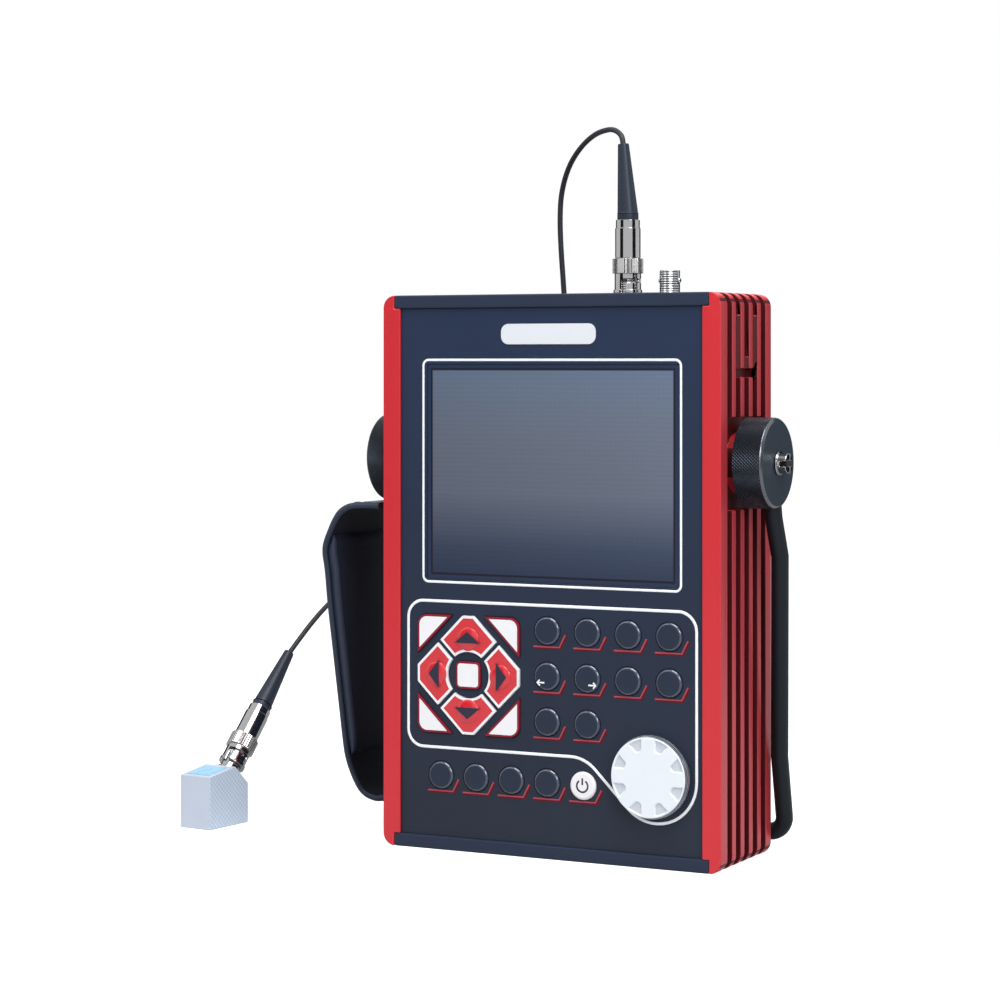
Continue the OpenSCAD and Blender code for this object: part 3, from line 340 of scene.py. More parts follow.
def finish(name, base, roughness, metallic=0.0, mottle=0.05, mottle_scale=45, spread=0.05,
           grain_scale=2500, grain_depth=0.00002, coat=0.0, specular=0.5, stretch=(1, 1, 1),
           relief=None, shade=None):
    """A surface with mottled colour and gloss, and the fine grain of a coat or a moulding.
    relief(tree) and shade(tree, colour) return the socket of a further height in metres and of
    a changed colour."""
    material = bpy.data.materials.new(name)
    material.use_nodes = True
    tree = material.node_tree
    place = tree.nodes.new("ShaderNodeVectorMath")
    place.operation = "MULTIPLY"
    feed(tree, place.inputs[0], tree.nodes.new("ShaderNodeTexCoord").outputs["Object"])
    feed(tree, place.inputs[1], stretch)
    cloud, grain = (noise(tree, place.outputs[0], detail, scale)
                    for detail, scale in ((4, mottle_scale), (2, grain_scale)))
    swing = math_node(tree, "MULTIPLY_ADD", cloud, 2, -1)
    colour = scaled(tree, tint(*base)[:3], math_node(tree, "MULTIPLY_ADD", swing, mottle, 1))
    if shade:
        colour = shade(tree, colour)
    height = math_node(tree, "MULTIPLY", grain, grain_depth)
    if relief:
        height = math_node(tree, "ADD", height, relief(tree))
    bump = tree.nodes.new("ShaderNodeBump")
    feed(tree, bump.inputs["Distance"], 1)
    feed(tree, bump.inputs["Height"], height)
    shader = tree.nodes["Principled BSDF"]
    for label, value in (
            ("Base Color", colour), ("Metallic", metallic), ("Specular IOR Level", specular),
            ("Roughness", math_node(tree, "MULTIPLY_ADD", swing, spread, roughness)),
            ("Coat Weight", coat), ("Coat Roughness", coat_rough),
            ("Normal", bump.outputs["Normal"])):
        feed(tree, shader.inputs[label], value)
    return material


lead_black = finish("lead_black", (30, 34, 42), 0.45, grain_scale=1800, specular=0.35)
tie_black = finish("tie_black", (38, 40, 44), 0.55, grain_scale=2400, specular=0.3)
lead.data.materials.append(lead_black)
for tie in ties:
    tie.data.materials.append(tie_black)


# The two side rails are aluminium extrusions with cooling grooves, anodised red. They carry
# the whole case: the plates slide into their slots and the caps screw into their ports. The
# fins' outer faces are painted a paler red as a highlight, and the grooves a dark red as shade.
merge_gap = 1e-6
flat_angle = math.radians(0.4)
facing = 0.9
rail_edge = 0.0005
rail_out = 0.08725
groove_floor = 0.08225
fin_half_y = 0.0275
paint_near = 0.0002
along_rail = (1, 1, 0.02)
rail_red = finish("rail_red", (208, 42, 52), 0.34, metallic=0.15, mottle=0.045,
                  mottle_scale=160, coat=0.12, grain_scale=3500, grain_depth=0.000012,
                  stretch=along_rail)
fin_painted_highlight = finish("fin_painted_highlight", (194, 60, 70), 0.3, metallic=0.35, mottle=0.08, mottle_scale=260,
                 grain_scale=4200, grain_depth=0.00001, stretch=along_rail)
groove_painted_shade = finish("groove_painted_shade", (78, 4, 14), 0.5, metallic=0.3, mottle=0.08,
                    mottle_scale=200, grain_scale=3500, stretch=along_rail)


def copied(name, node, slot, *finishes):
    """A closed copy of a CAD node, which it replaces and whose body it rides."""
    source = nodes[node]
    piece = bpy.data.objects.new(name, source.data.copy())
    bpy.context.scene.collection.objects.link(piece)
    piece.data.materials.clear()
    for surface in finishes:
        piece.data.materials.append(surface)
    for face in piece.data.polygons:
        face.material_index = 0
    select_only(piece)
    bpy.ops.mesh.customdata_custom_splitnormals_clear()
    bpy.ops.object.mode_set(mode="EDIT")
    bpy.ops.mesh.select_all(action="SELECT")
    bpy.ops.mesh.remove_doubles(threshold=merge_gap)
    bpy.ops.mesh.dissolve_limited(angle_limit=flat_angle)
    bpy.ops.object.mode_set(mode="OBJECT")
    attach(piece, source["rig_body"])
    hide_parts(node)
    return piece


def eased(piece, width, segments=2, angle=35, chosen=None):
    """Rounds a piece's sharp edges and smooths the shading between them. chosen(a, b) says
    whether the edge from a to b is rounded; without it all the sharp ones are."""
    select_only(piece)
    if width:
        edges = piece.modifiers.new("edges", "BEVEL")
        edges.width = width
        edges.segments = segments
        edges.limit_method = "ANGLE"
        edges.angle_limit = math.radians(angle)
        edges.use_clamp_overlap = False
        if chosen:
            edges.limit_method = "WEIGHT"
            weights = piece.data.attributes.new("bevel_weight_edge", "FLOAT", "EDGE")
            places = [v.co for v in piece.data.vertices]
            for edge in piece.data.edges:
                weights.data[edge.index].value = float(chosen(*(places[i] for i in edge.vertices)))
        bpy.ops.object.modifier_apply(modifier="edges")
    bpy.ops.object.shade_smooth_by_angle(angle=math.radians(angle))
    normals = piece.modifiers.new("normals", "WEIGHTED_NORMAL")
    normals.keep_sharp = True
    bpy.ops.object.modifier_apply(modifier="normals")
    return piece


# Fin tops take the painted highlight; groove walls and floors take the painted shade.
for side in ("left", "right"):
    rail = copied("red_rail_" + side, "rail_" + side, "rail", rail_red, fin_painted_highlight, groove_painted_shade)
    for face in rail.data.polygons:
        reach = abs(face.center.x)
        if abs(face.normal.x) > facing and reach > rail_out - paint_near:
            face.material_index = 1
        elif (reach > groove_floor - paint_near and abs(face.center.y) < fin_half_y
              and abs(face.normal.z) < 0.5):
            face.material_index = 2
    eased(rail, rail_edge)


# End caps of dark painted aluminium, each held by four countersunk screws in the rails' ports.
# The rear cover and the battery door are painted sheet; the door has four small pan screws.
cap_edge = 0.0009
face_near = 0.00002
pivot_z = 0.1848
cover_edge = 0.0003
screw_edge = 0.0002
shell_navy = finish("shell_navy", (38, 48, 68), 0.5, mottle=0.05, grain_scale=2600,
                    grain_depth=0.00003, specular=0.22)
screw_steel = finish("screw_steel", (150, 150, 152), 0.3, metallic=1.0, grain_scale=5000,
                     grain_depth=0.000004)


def on_cap_outline(a, b):
    """Whether an edge of an end cap lies on its front, on its back or along its outer face."""
    cap_low, cap_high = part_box("top_cap" if a.z > pivot_z else "bottom_cap")
    outer_z = cap_high.z if a.z > pivot_z else cap_low.z
    for face_y in (cap_low.y, cap_high.y):
        if abs(a.y - face_y) < face_near and abs(b.y - face_y) < face_near:
            return True
    return all(abs(p.z - outer_z) < face_near and abs(p.x) > cap_high.x - face_near for p in (a, b))


eased(copied("upper_end_cap", "top_cap", "shell", shell_navy), cap_edge, chosen=on_cap_outline)
eased(copied("lower_end_cap", "bottom_cap", "shell", shell_navy), cap_edge, chosen=on_cap_outline)
eased(copied("rear_plate", "rear_cover", "shell", shell_navy), cover_edge)
eased(copied("battery_hatch", "battery_door", "shell", shell_navy), cover_edge)
eased(copied("screw_set", "case_screws", "bright_metal", screw_steel), screw_edge)


# The front panel is a painted plate between the rails, with a smooth printed film on it.
# White lines frame the screen and the keypad, and a red tick stands under each round key; a
# darker red line offset below and right of each tick is a painted shadow.
panel_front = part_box("front_panel")[0].y
print_raise = 0.00006
line_w = 0.0014
screen_line_w = 0.00115
tick_w = 0.0008
tick_shadow_w, tick_shadow_rise = tick_w * 1.3, 0.5
screen_frame = {"x0": -0.0661, "x1": 0.0671, "z0": 0.1269, "z1": 0.2322, "r": 0.0028}
pad_frame = [(-0.0742, 0.0484, 0.008), (0.0188, 0.0484, 0.0174), (0.0466, 0.0206, 0.0199),
             (0.0748, 0.0206, 0.0199), (0.0748, 0.1178, 0.009), (-0.0742, 0.1178, 0.008)]
round_steps = 10
tick_shape = [(-0.0071, -0.0075), (0.0062, -0.0075), (0.0093, -0.0015)]
tick_shadow_shift = (0.0007, -0.0006)
key_columns = [-0.0005, 0.0201, 0.0407, 0.0613]
key_rows = [0.1061, 0.0849, 0.0637]
lower_columns = [-0.0564, -0.0378, -0.0192, -0.0006, 0.018]
lower_row = 0.0353
panel_low, panel_high = 0.03, 0.25


def split(tree, vector=None):
    """The X, Y and Z of a vector, or else of Object coordinates."""
    made = tree.nodes.new("ShaderNodeSeparateXYZ")
    if vector is None:
        vector = tree.nodes.new("ShaderNodeTexCoord").outputs["Object"]
    feed(tree, made.inputs[0], vector)
    return made.outputs["X"], made.outputs["Y"], made.outputs["Z"]


def share_between(tree, value, low, high):
    """0 up to the low value, 1 from the high one on, and even steps between."""
    made = tree.nodes.new("ShaderNodeMapRange")
    for label, given in (("Value", value), ("From Min", low), ("From Max", high)):
        feed(tree, made.inputs[label], given)
    return made.outputs[0]


def colour_ramp(tree, share, *stops):
    """The colour at a share of the way through stops of (share, colour)."""
    made = tree.nodes.new("ShaderNodeValToRGB")
    feed(tree, made.inputs["Fac"], share)
    elements = made.color_ramp.elements
    elements[0].color, elements[1].color = stops[0][1], stops[-1][1]
    for position, colour in stops[1:-1]:
        elements.new(position).color = colour
    return made.outputs["Color"]


def mixed(tree, share, first, second, way="MIX"):
    made = tree.nodes.new("ShaderNodeMix")
    made.data_type = "RGBA"
    made.blend_type = way
    for place, value in ((0, share), (6, first), (7, second)):
        feed(tree, made.inputs[place], value)
    return made.outputs[2]


def panel_painted_light(tree, colour):
    """Painted light: bluer at the top of the panel and greyer at its foot."""
    rise = share_between(tree, split(tree)[2], panel_low, panel_high)
    tone = colour_ramp(tree, rise, (0, (0.9, 0.86, 0.74, 1)), (1, (0.82, 1.0, 1.16, 1)))
    return mixed(tree, 1, colour, tone, "MULTIPLY")


panel_navy = finish("panel_navy", (39, 48, 68), 0.42, mottle=0.07, mottle_scale=14,
                    spread=0.05, grain_scale=3800, grain_depth=0.00001, specular=0.22,
                    shade=panel_painted_light)
print_white = finish("print_white", (242, 246, 252), 0.45, mottle=0.02, specular=0.3)
print_red = finish("print_red", (172, 66, 80), 0.45, mottle=0.04, specular=0.3)
painted_tick_shadow = finish("painted_tick_shadow", (92, 14, 28), 0.5, mottle=0.05, specular=0.2)
eased(copied("front_plate", "front_panel", "shell", panel_navy), cover_edge)


def rounded_corners(corners):
    """Points of an outline in X and Z whose corners (x, z, r) are rounded."""
    found = []
    for i, (x, z, r) in enumerate(corners):
        here = Vector((x, z))
        before = (Vector(corners[i - 1][:2]) - here).normalized()
        after = (Vector(corners[(i + 1) % len(corners)][:2]) - here).normalized()
        half = before.angle(after) / 2
        centre = here + (before + after).normalized() * (r / math.sin(half))
        start = here + before * (r / math.tan(half)) - centre
        end = here + after * (r / math.tan(half)) - centre
        sweep = start.angle_signed(end)
        for k in range(round_steps + 1):
            turned = start.copy()
            turned.rotate(Matrix.Rotation(-sweep * k / round_steps, 2))
            found.append(centre + turned)
    return found


def printed_line(name, lines, width, closed, surface, rise=1.0):
    """Lines of paint on the panel: beads along points in X and Z, pressed nearly flat."""
    line = drawn_bars(name, [[(p[0], 0, p[1]) for p in points] for points in lines],
                      width / 2, closed, 2)
    for vertex in line.data.vertices:
        vertex.co.y = panel_front + vertex.co.y * 2 * rise * print_raise / width
    line.data.materials.append(surface)
    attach(line, "case")
    return line


s = screen_frame
frame_corners = [(s["x0"], s["z0"], s["r"]), (s["x1"], s["z0"], s["r"]),
                 (s["x1"], s["z1"], s["r"]), (s["x0"], s["z1"], s["r"])]
printed_line("screen_line", [rounded_corners(frame_corners)], screen_line_w, True, print_white)
printed_line("keypad_line", [rounded_corners(pad_frame)], line_w, True, print_white)
round_places = {}
for row, z in enumerate(key_rows, 1):
    for column, x in enumerate(key_columns[:4 if row < 3 else 2], 1):
        round_places["round_key_%d%d" % (row, column)] = (x, z)
for name, x in zip(["lower_key_1", "lower_key_2", "lower_key_3", "lower_key_4", "power_key"],
                   lower_columns):
    round_places[name] = (x, lower_row)
for name, (x, z) in round_places.items():
    printed_line("tick_" + name, [[(x + dx, z + dz) for dx, dz in tick_shape]], tick_w, False,
                 print_red)
    shift_x, shift_z = tick_shadow_shift
    printed_line("tick_drop_shadow_" + name,
                 [[(x + dx + shift_x, z + dz + shift_z) for dx, dz in tick_shape]],
                 tick_shadow_w, False, painted_tick_shadow, tick_shadow_rise)


# The nameplate is a white plastic pill with a slight gloss, stuck to the panel above the
# screen. It is blank here.
badge_edge = 0.00015
badge_white = finish("badge_white", (220, 224, 231), 0.3, mottle=0.015, coat=0.15, specular=0.3)
eased(copied("nameplate", "name_badge", "white_plastic", badge_white), badge_edge)


# The screen: a clear window let into the panel over a display that is switched off. The
# display shows as dark grey-blue with fine rows, lighter towards the top and the right as a
# painted reflection, inside a brown-black edge that is a painted shadow and a navy border.
window_edge = 0.0002
screen_centre = (0.001, 0.1793)
screen_half = (0.063, 0.0488)
row_pitch = 0.0011
row_depth, column_depth = 0.06, 0.03
painted_light_slope = (1.7, 1.045)
display_painted_reflection = ((0, tint(44, 54, 76)), (0.14, tint(58, 68, 88)), (0.4, tint(94, 101, 116)),
                 (0.7, tint(98, 106, 121)), (1, tint(96, 110, 132)))
edge_shadow_and_border = ((-0.0011, -0.0005, tint(30, 28, 34)), (-0.0001, 0.0003, tint(42, 52, 76)))


def screen_rows_and_painted_light(tree, colour):
    """The display's tone by height and across it, a painted reflection, its rows, its
    brown-black edge, a painted shadow, and the navy border round it.
    """
    x, _, z = split(tree)
    middle, half = screen_centre[1], screen_half[1]
    tone = colour_ramp(tree, share_between(tree, z, middle - half, middle + half), *display_painted_reflection)
    across, along = (math_node(tree, "PINGPONG", math_node(tree, "DIVIDE", place, row_pitch), 1)
                     for place in (x, z))
    slope = math_node(tree, "MULTIPLY_ADD", x, *painted_light_slope)
    rows = math_node(tree, "MULTIPLY_ADD", across, -column_depth, slope)
    found = scaled(tree, tone, math_node(tree, "MULTIPLY_ADD", along, -row_depth, rows))
    beside, above = (
        math_node(tree, "SUBTRACT", math_node(
            tree, "ABSOLUTE", math_node(tree, "SUBTRACT", place, centre)), reach)
        for place, centre, reach in zip((x, z), screen_centre, screen_half))
    past = math_node(tree, "MAXIMUM", beside, above)
    for start, end, tone_past in edge_shadow_and_border:
        found = mixed(tree, share_between(tree, past, start, end), found, tone_past)
    return found


screen_dark = finish("screen_dark", (60, 68, 82), 0.2, spread=0.02, mottle=0.03,
                     grain_depth=0.000002, specular=0.3, shade=screen_rows_and_painted_light)
eased(copied("screen_window", "display_window", "screen_glass", screen_dark), window_edge)


# Round keys: silicone domes in holes of the panel, dark with a raised glossy rim that catches
# light; the rim's paler colour is a painted highlight.
# The power key at the end of the lower row is white with the common power sign.
key_edge = 0.0002
dome_edge = 0.0014
key_navy = finish("key_navy", (36, 46, 63), 0.4, mottle=0.05, grain_depth=0.000006,
                  specular=0.25)
key_rim_painted_highlight = finish("key_rim_painted_highlight", (50, 60, 80), 0.16, mottle=0.02, grain_depth=0.000002, coat=1.0)
power_white = finish("power_white", (236, 234, 238), 0.3, mottle=0.02, coat=0.2, specular=0.3)
power_sign_r = 0.0028
power_line_w = 0.0009
power_bar = (0.0005, 0.0036)
key_arrow = [[(0.0, 0.0), (0.0037, 0.0)], [(0.0024, 0.0013), (0.0038, 0.0), (0.0024, -0.0013)]]
key_arrow_w, key_arrow_start, key_arrow_drop = 0.00075, 0.001, 0.0029
sign_dark = finish("sign_dark", (36, 44, 60), 0.4, mottle=0.02)


def front_faces(piece):
    """Selects the faces of a piece's front, and enters edit mode."""
    select_only(piece)
    bpy.ops.object.mode_set(mode="EDIT")
    bpy.ops.mesh.select_mode(type="FACE")
    bpy.ops.mesh.select_all(action="DESELECT")
    bpy.ops.object.mode_set(mode="OBJECT")
    nearest = min(v.co.y for v in piece.data.vertices)
    for face in piece.data.polygons:
        face.select = face.normal.y < -0.99 and abs(face.center.y - nearest) < merge_gap * 10
    bpy.ops.object.mode_set(mode="EDIT")


def stepped_front(piece, inset, rise, material_index):
    """Insets a piece's front, lifts the middle by rise and paints it."""
    front_faces(piece)
    bpy.ops.mesh.inset(thickness=inset, depth=rise)
    piece.active_material_index = material_index
    bpy.ops.object.material_slot_assign()
    bpy.ops.object.mode_set(mode="OBJECT")


for name in round_places:
    is_power = name == "power_key"
    piece = copied(name + "_cap", name, "white_plastic" if is_power else "key_rubber",
                   power_white if is_power else key_rim_painted_highlight, power_white if is_power else key_navy)
    key_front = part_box(name)[0].y + face_near
    eased(piece, dome_edge, 6, 60, lambda a, b: max(a.y, b.y) < key_front)
    for face in piece.data.polygons:
        face.material_index = 1 if face.normal.y < -0.97 else 0

power_x, power_z = round_places["power_key"]
arc = [(power_x + power_sign_r * math.sin(math.radians(a)),
        power_z + power_sign_r * math.cos(math.radians(a))) for a in range(35, 326, 10)]
signs = {"power_sign_ring": ("power_key", [arc], power_line_w, sign_dark),
         "power_sign_bar": ("power_key", [[(power_x, power_z + rise) for rise in power_bar]],
                            power_line_w, sign_dark)}
for side, key, way in (("left", "round_key_21", -1), ("right", "round_key_22", 1)):
    x, z = round_places[key]
    lines = [[(x + way * (key_arrow_start + dx), z - key_arrow_drop + dz) for dx, dz in stroke]
             for stroke in key_arrow]
    signs[side + "_arrow_sign"] = (key, lines, key_arrow_w, print_white)
for name, (key, lines, width, surface) in signs.items():
    sign = printed_line(name, lines, width, False, surface)
    for vertex in sign.data.vertices:
        vertex.co.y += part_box(key)[0].y - panel_front
    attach(sign, key + "_body")


# The cursor cluster: four red keys with a white border, a raised round boss and a dark arrow, a
# white enter key in the middle and four white keys with a red edge at the corners, all moulded.
cursor_x, cursor_z = -0.0417, 0.0834
border_w = 0.0012
border_drop = 0.00012
boss_r = 0.0056
boss_rise = 0.0009
arrow_out = 0.017
arrow_half_w, arrow_up = 0.0069, 0.0036
arrow_t = 0.0003
corner_border = 0.001
cursor_red = finish("cursor_red", (208, 36, 48), 0.22, mottle=0.04, coat=1.0, specular=0.3)
cursor_white = finish("cursor_white", (235, 236, 240), 0.36, mottle=0.015, specular=0.3)
edge_red = finish("edge_red", (132, 24, 44), 0.42, mottle=0.04, specular=0.3)
arrow_dark = finish("arrow_dark", (44, 44, 62), 0.4, mottle=0.03, specular=0.3)


def facing_front(name, add, **shape):
    """A primitive at the origin whose axis points to the front."""
    bpy.ops.object.select_all(action="DESELECT")
    add(rotation=(math.pi / 2, 0, 0), **shape)
    piece = bpy.context.object
    piece.name = name
    bpy.ops.object.transform_apply(location=False, rotation=True, scale=False)
    return piece


def faced_out(piece):
    """Turns a closed piece's faces outwards, once its doubled points are merged."""
    select_only(piece)
    bpy.ops.object.mode_set(mode="EDIT")
    bpy.ops.mesh.select_all(action="SELECT")
    bpy.ops.mesh.remove_doubles(threshold=merge_gap)
    bpy.ops.mesh.normals_make_consistent(inside=False)
    bpy.ops.object.mode_set(mode="OBJECT")


for name, turn in (("cursor_up", 0), ("cursor_left", 90), ("cursor_down", 180),
                   ("cursor_right", 270)):
    piece = copied(name + "_cap", name, "key_red", cursor_white, cursor_red)
    stepped_front(piece, border_w, -border_drop, 1)
    eased(piece, key_edge, 2, 30)
    angle = math.radians(turn)
    place = (cursor_x - math.sin(angle) * arrow_out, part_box(name)[0].y + border_drop,
             cursor_z + math.cos(angle) * arrow_out)
    boss = facing_front(name + "_boss", bpy.ops.mesh.primitive_uv_sphere_add, segments=36,
                        ring_count=18, radius=boss_r)
    for vertex in boss.data.vertices:
        vertex.co.y *= boss_rise / boss_r
    bpy.ops.object.shade_smooth()
    boss.data.materials.append(cursor_red)
    arrow = facing_front(name + "_arrow", bpy.ops.mesh.primitive_cylinder_add, vertices=3,
                         radius=1, depth=arrow_t)
    tip = max(arrow.data.vertices, key=lambda v: abs(v.co.z)).co.z
    for vertex in arrow.data.vertices:
        x, z = vertex.co.x * arrow_half_w / math.cos(math.pi / 6), vertex.co.z / tip * arrow_up
        vertex.co.x = x * math.cos(angle) - z * math.sin(angle)
        vertex.co.z = x * math.sin(angle) + z * math.cos(angle)
        vertex.co.y -= boss_rise
    arrow.data.materials.append(arrow_dark)
    for part in (boss, arrow):
        for vertex in part.data.vertices:
            vertex.co += Vector(place)
        faced_out(part)
        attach(part, name + "_body")
    eased(arrow, arrow_t / 3, 2, 30)
for name in ("gain_down_key", "gain_up_key", "escape_key", "confirm_key", "cursor_enter"):
    piece = copied(name + "_cap", name, "white_plastic", edge_red, cursor_white)
    stepped_front(piece, corner_border, 0, 1)
    eased(piece, key_edge, 2, 30)


# The dial is a white moulded knob on the encoder's spindle, with eight finger dents in its
# face and a turned silver skirt, knurled around its foot.
dial_centre = (0.053, -0.0324, 0.0421)
dial_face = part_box("dial")[0].y
dial_t = 0.005
spindle_r = 0.003
spindle_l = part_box("dial")[1].y - dial_face
dial_segments = 288
dent_count = 8
dent_depth = 0.0008
dent_in, dent_end_r = 0.0144, 0.0023
dent_out = 0.0177
dent_flare = 0.5
dent_soft = 0.0005
dent_floor = (0.7 * dent_depth, 1.1 * dent_depth)
face_radii = [0, 0.003, 0.006, 0.009, 0.011] + [0.0116 + 0.00022 * k for k in range(29)]
dial_rim = [(0.0181, 0.00003), (0.0183, 0.00012), (0.0184, 0.0003), (0.01845, 0.0006),
            (0.01855, 0.00085), (0.0185, 0.00095), (0.0185, 0.00108), (0.0187, 0.00118),
            (0.0189, 0.0019), (0.01892, 0.002), (0.0188, 0.0021), (0.01882, 0.00222),
            (0.01906, 0.00232), (0.0193, 0.0028), (0.0193, 0.0046), (0.0191, 0.0048)]
silver_from = 0.00045
rim_gap = 0.0003
skirt_ridges = 90
skirt_from = 0.0028
knurl_depth = 0.00025
dial_white = finish("dial_white", (228, 235, 243), 0.32, mottle=0.012, specular=0.3)
dent_grey = finish("dent_grey", (204, 211, 220), 0.4, mottle=0.02, specular=0.3)
dial_silver = finish("dial_silver", (150, 156, 168), 0.22, metallic=0.95, mottle=0.06)


def turned_place(tree, centre, turn):
    """Object coordinates from a centre, on axes turned by the angles in turn."""
    mapping = tree.nodes.new("ShaderNodeMapping")
    mapping.vector_type = "TEXTURE"
    place = tree.nodes.new("ShaderNodeTexCoord").outputs["Object"]
    for label, value in (("Vector", place), ("Location", centre), ("Rotation", turn)):
        feed(tree, mapping.inputs[label], value)
    return mapping.outputs["Vector"]


def knurl(centre, turn, ridges, pitch, depth):
    """Relief of ridges around an axis through centre; turn lays Z on that axis."""
    def relief(tree):
        x, y, z = split(tree, turned_place(tree, centre, turn))
        share = math_node(tree, "DIVIDE", math_node(tree, "ARCTAN2", y, x), 2 * math.pi)
        around = math_node(tree, "MULTIPLY", share, ridges)
        along = math_node(tree, "DIVIDE", z, pitch)
        cuts = [math_node(tree, "PINGPONG", math_node(tree, way, around, along), 0.5)
                for way in ("ADD", "SUBTRACT")]
        return math_node(tree, "MULTIPLY", math_node(tree, "MINIMUM", *cuts), depth * 2)
    return relief


straight = 1000.0
along_y = (math.pi / 2, 0, 0)
skirt_silver = finish("skirt_silver", (150, 156, 168), 0.24, metallic=0.95,
                      relief=knurl(dial_centre, along_y, skirt_ridges, straight, knurl_depth))
dial_profile = [(r, 0.0) for r in face_radii] + dial_rim + [
    (0.019, dial_t), (spindle_r, dial_t), (spindle_r, spindle_l), (0, spindle_l)]
bpy.ops.object.select_all(action="DESELECT")
bpy.ops.mesh.primitive_grid_add(x_subdivisions=dial_segments, y_subdivisions=len(dial_profile) - 1,
                                size=1)
knob = bpy.context.object
knob.name = "dial_knob"
for surface in (dial_white, dent_grey, dial_silver, skirt_silver):
    knob.data.materials.append(surface)
dent_step = 2 * math.pi / dent_count
for vertex in knob.data.vertices:
    angle = (vertex.co.x + 0.5) * 2 * math.pi
    radius, back = dial_profile[round((vertex.co.y + 0.5) * (len(dial_profile) - 1))]
    if back == 0:
        off = angle % dent_step - dent_step / 2
        u, v = radius * math.cos(off), abs(radius * math.sin(off))
        if u > dent_in:
            gap = v - dent_end_r - dent_flare * (u - dent_in)
        else:
            gap = math.hypot(u - dent_in, v) - dent_end_r
        share = min(1.0, max(0.0, -max(gap, radius - dent_out) / dent_soft))
        back = dent_depth * share * share * (3 - 2 * share)
    vertex.co = (dial_centre[0] + radius * math.sin(angle), dial_face + back,
                 dial_centre[2] + radius * math.cos(angle))
faced_out(knob)
for face in knob.data.polygons:
    back = face.center.y - dial_face
    out = math.hypot(face.center.x - dial_centre[0], face.center.z - dial_centre[2])
    if out > dent_out + rim_gap and back > silver_from:
        face.material_index = 3 if back > skirt_from else 2
    elif dent_floor[0] < back < dent_floor[1]:
        face.material_index = 1
bpy.ops.object.shade_smooth_by_angle(angle=math.radians(35))
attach(knob, nodes["dial"]["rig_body"])
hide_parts("dial")


# Bayonet jacks and plugs of nickel-plated brass: each plug has a turning collar with two
# slots, a knurled grip and a body, and a moulded rubber boot keeps the lead from kinking.
jack_edge = 0.0002
upper_seat = (0.0273, 0, 0.263)
lower_seat = (-0.188727, -0.007073, 0.027936)
lower_axis = Vector((0.075832, 0.665565, 0.742478))
lower_turn = tuple(lower_axis.to_track_quat("Z", "Y").to_euler())
grip_ridges = 36
grip_from = 0.007
thread_pitch = 0.0011
jack_thread_l = 0.0065
nickel = finish("nickel", (172, 172, 174), 0.08, metallic=1.0, mottle=0.06, spread=0.04,
                grain_scale=4000, grain_depth=0.000003)
boot_rubber = finish("boot_rubber", (32, 40, 54), 0.42, grain_scale=1500, specular=0.3)
slot_low, slot_high = 0.0050, 0.0076


def on_collar_rim(a, b, seat, axis):
    """Whether an edge runs round a collar, clear of its two slots."""
    heights = [(p - seat).dot(axis) for p in (a, b)]
    radii = [(p - seat - axis * h).length for p, h in zip((a, b), heights)]
    return (abs(heights[0] - heights[1]) < face_near and abs(radii[0] - radii[1]) < face_near
            and not slot_low < heights[0] < slot_high)


for place, seat, turn in (("upper", upper_seat, (0, 0, 0)), ("lower", lower_seat, lower_turn)):
    grip = finish("grip_" + place, (198, 198, 197), 0.22, metallic=1.0,
                  relief=knurl(seat, turn, grip_ridges, straight, knurl_depth))
    collar = copied("collar_" + place, "plug_collar_" + place, "bright_metal", nickel, grip)
    axis = Vector((0, 0, 1)) if place == "upper" else lower_axis
    for face in collar.data.polygons:
        arm = face.center - Vector(seat)
        out = (arm - axis * arm.dot(axis)).length
        if out > grip_from:
            face.material_index = 1
    eased(collar, jack_edge, chosen=lambda a, b: on_collar_rim(a, b, Vector(seat), axis))
    eased(copied("plug_" + place, "plug_body_" + place, "bright_metal", nickel), jack_edge)
    eased(copied("boot_" + place, "plug_boot_" + place, "black_rubber", boot_rubber), jack_edge * 2)
jack_threads = finish("jack_threads", (176, 176, 176), 0.16, metallic=1.0,
                      relief=knurl(upper_seat, (0, 0, 0), 0.0, thread_pitch, knurl_depth))
jacks = copied("jack_pair", "signal_jacks", "bright_metal", nickel, jack_threads)
for face in jacks.data.polygons:
    if abs(face.normal.z) < 0.1 and face.center.z < upper_seat[2] + jack_thread_l:
        face.material_index = 1
eased(jacks, jack_edge)
eased(copied("probe_socket", "probe_jack", "bright_metal", nickel), jack_edge)


# The angle probe: an anodised aluminium housing with cross-hatched sides around an acrylic
# wedge, which is flush with its sole. A light blue film, blank here, lies on its top.
probe_edge = 0.0004
hatch_pitch = 0.0026
hatch_depth = 0.00012
hatch_line, hatch_shade_darkening = 0.11, 0.42
film_edge = 0.0001
hatch_turn = (0, 0, math.radians(-6.5))
hatch_centre = (-0.1902, -0.02, 0)


def hatch(tree):
    """1 in the scribed lines of the housing's sides, and 0 between them."""
    x, y, z = split(tree, turned_place(tree, hatch_centre, hatch_turn))
    across = math_node(tree, "ADD", x, y)
    one, two = (math_node(tree, "PINGPONG", math_node(
        tree, "DIVIDE", math_node(tree, way, across, z), hatch_pitch), 0.5)
        for way in ("ADD", "SUBTRACT"))
    low = math_node(tree, "MINIMUM", one, two)
    return math_node(tree, "MAXIMUM", math_node(tree, "MULTIPLY_ADD", low, -1 / hatch_line, 1), 0)


def hatch_relief(tree):
    return math_node(tree, "MULTIPLY", hatch(tree), -hatch_depth)


# Painted shade: the housing's colour is darkened in the scribed lines, whose relief is real.
def hatch_painted_shade(tree, colour):
    return scaled(tree, colour, math_node(tree, "MULTIPLY_ADD", hatch(tree), -hatch_shade_darkening, 1))


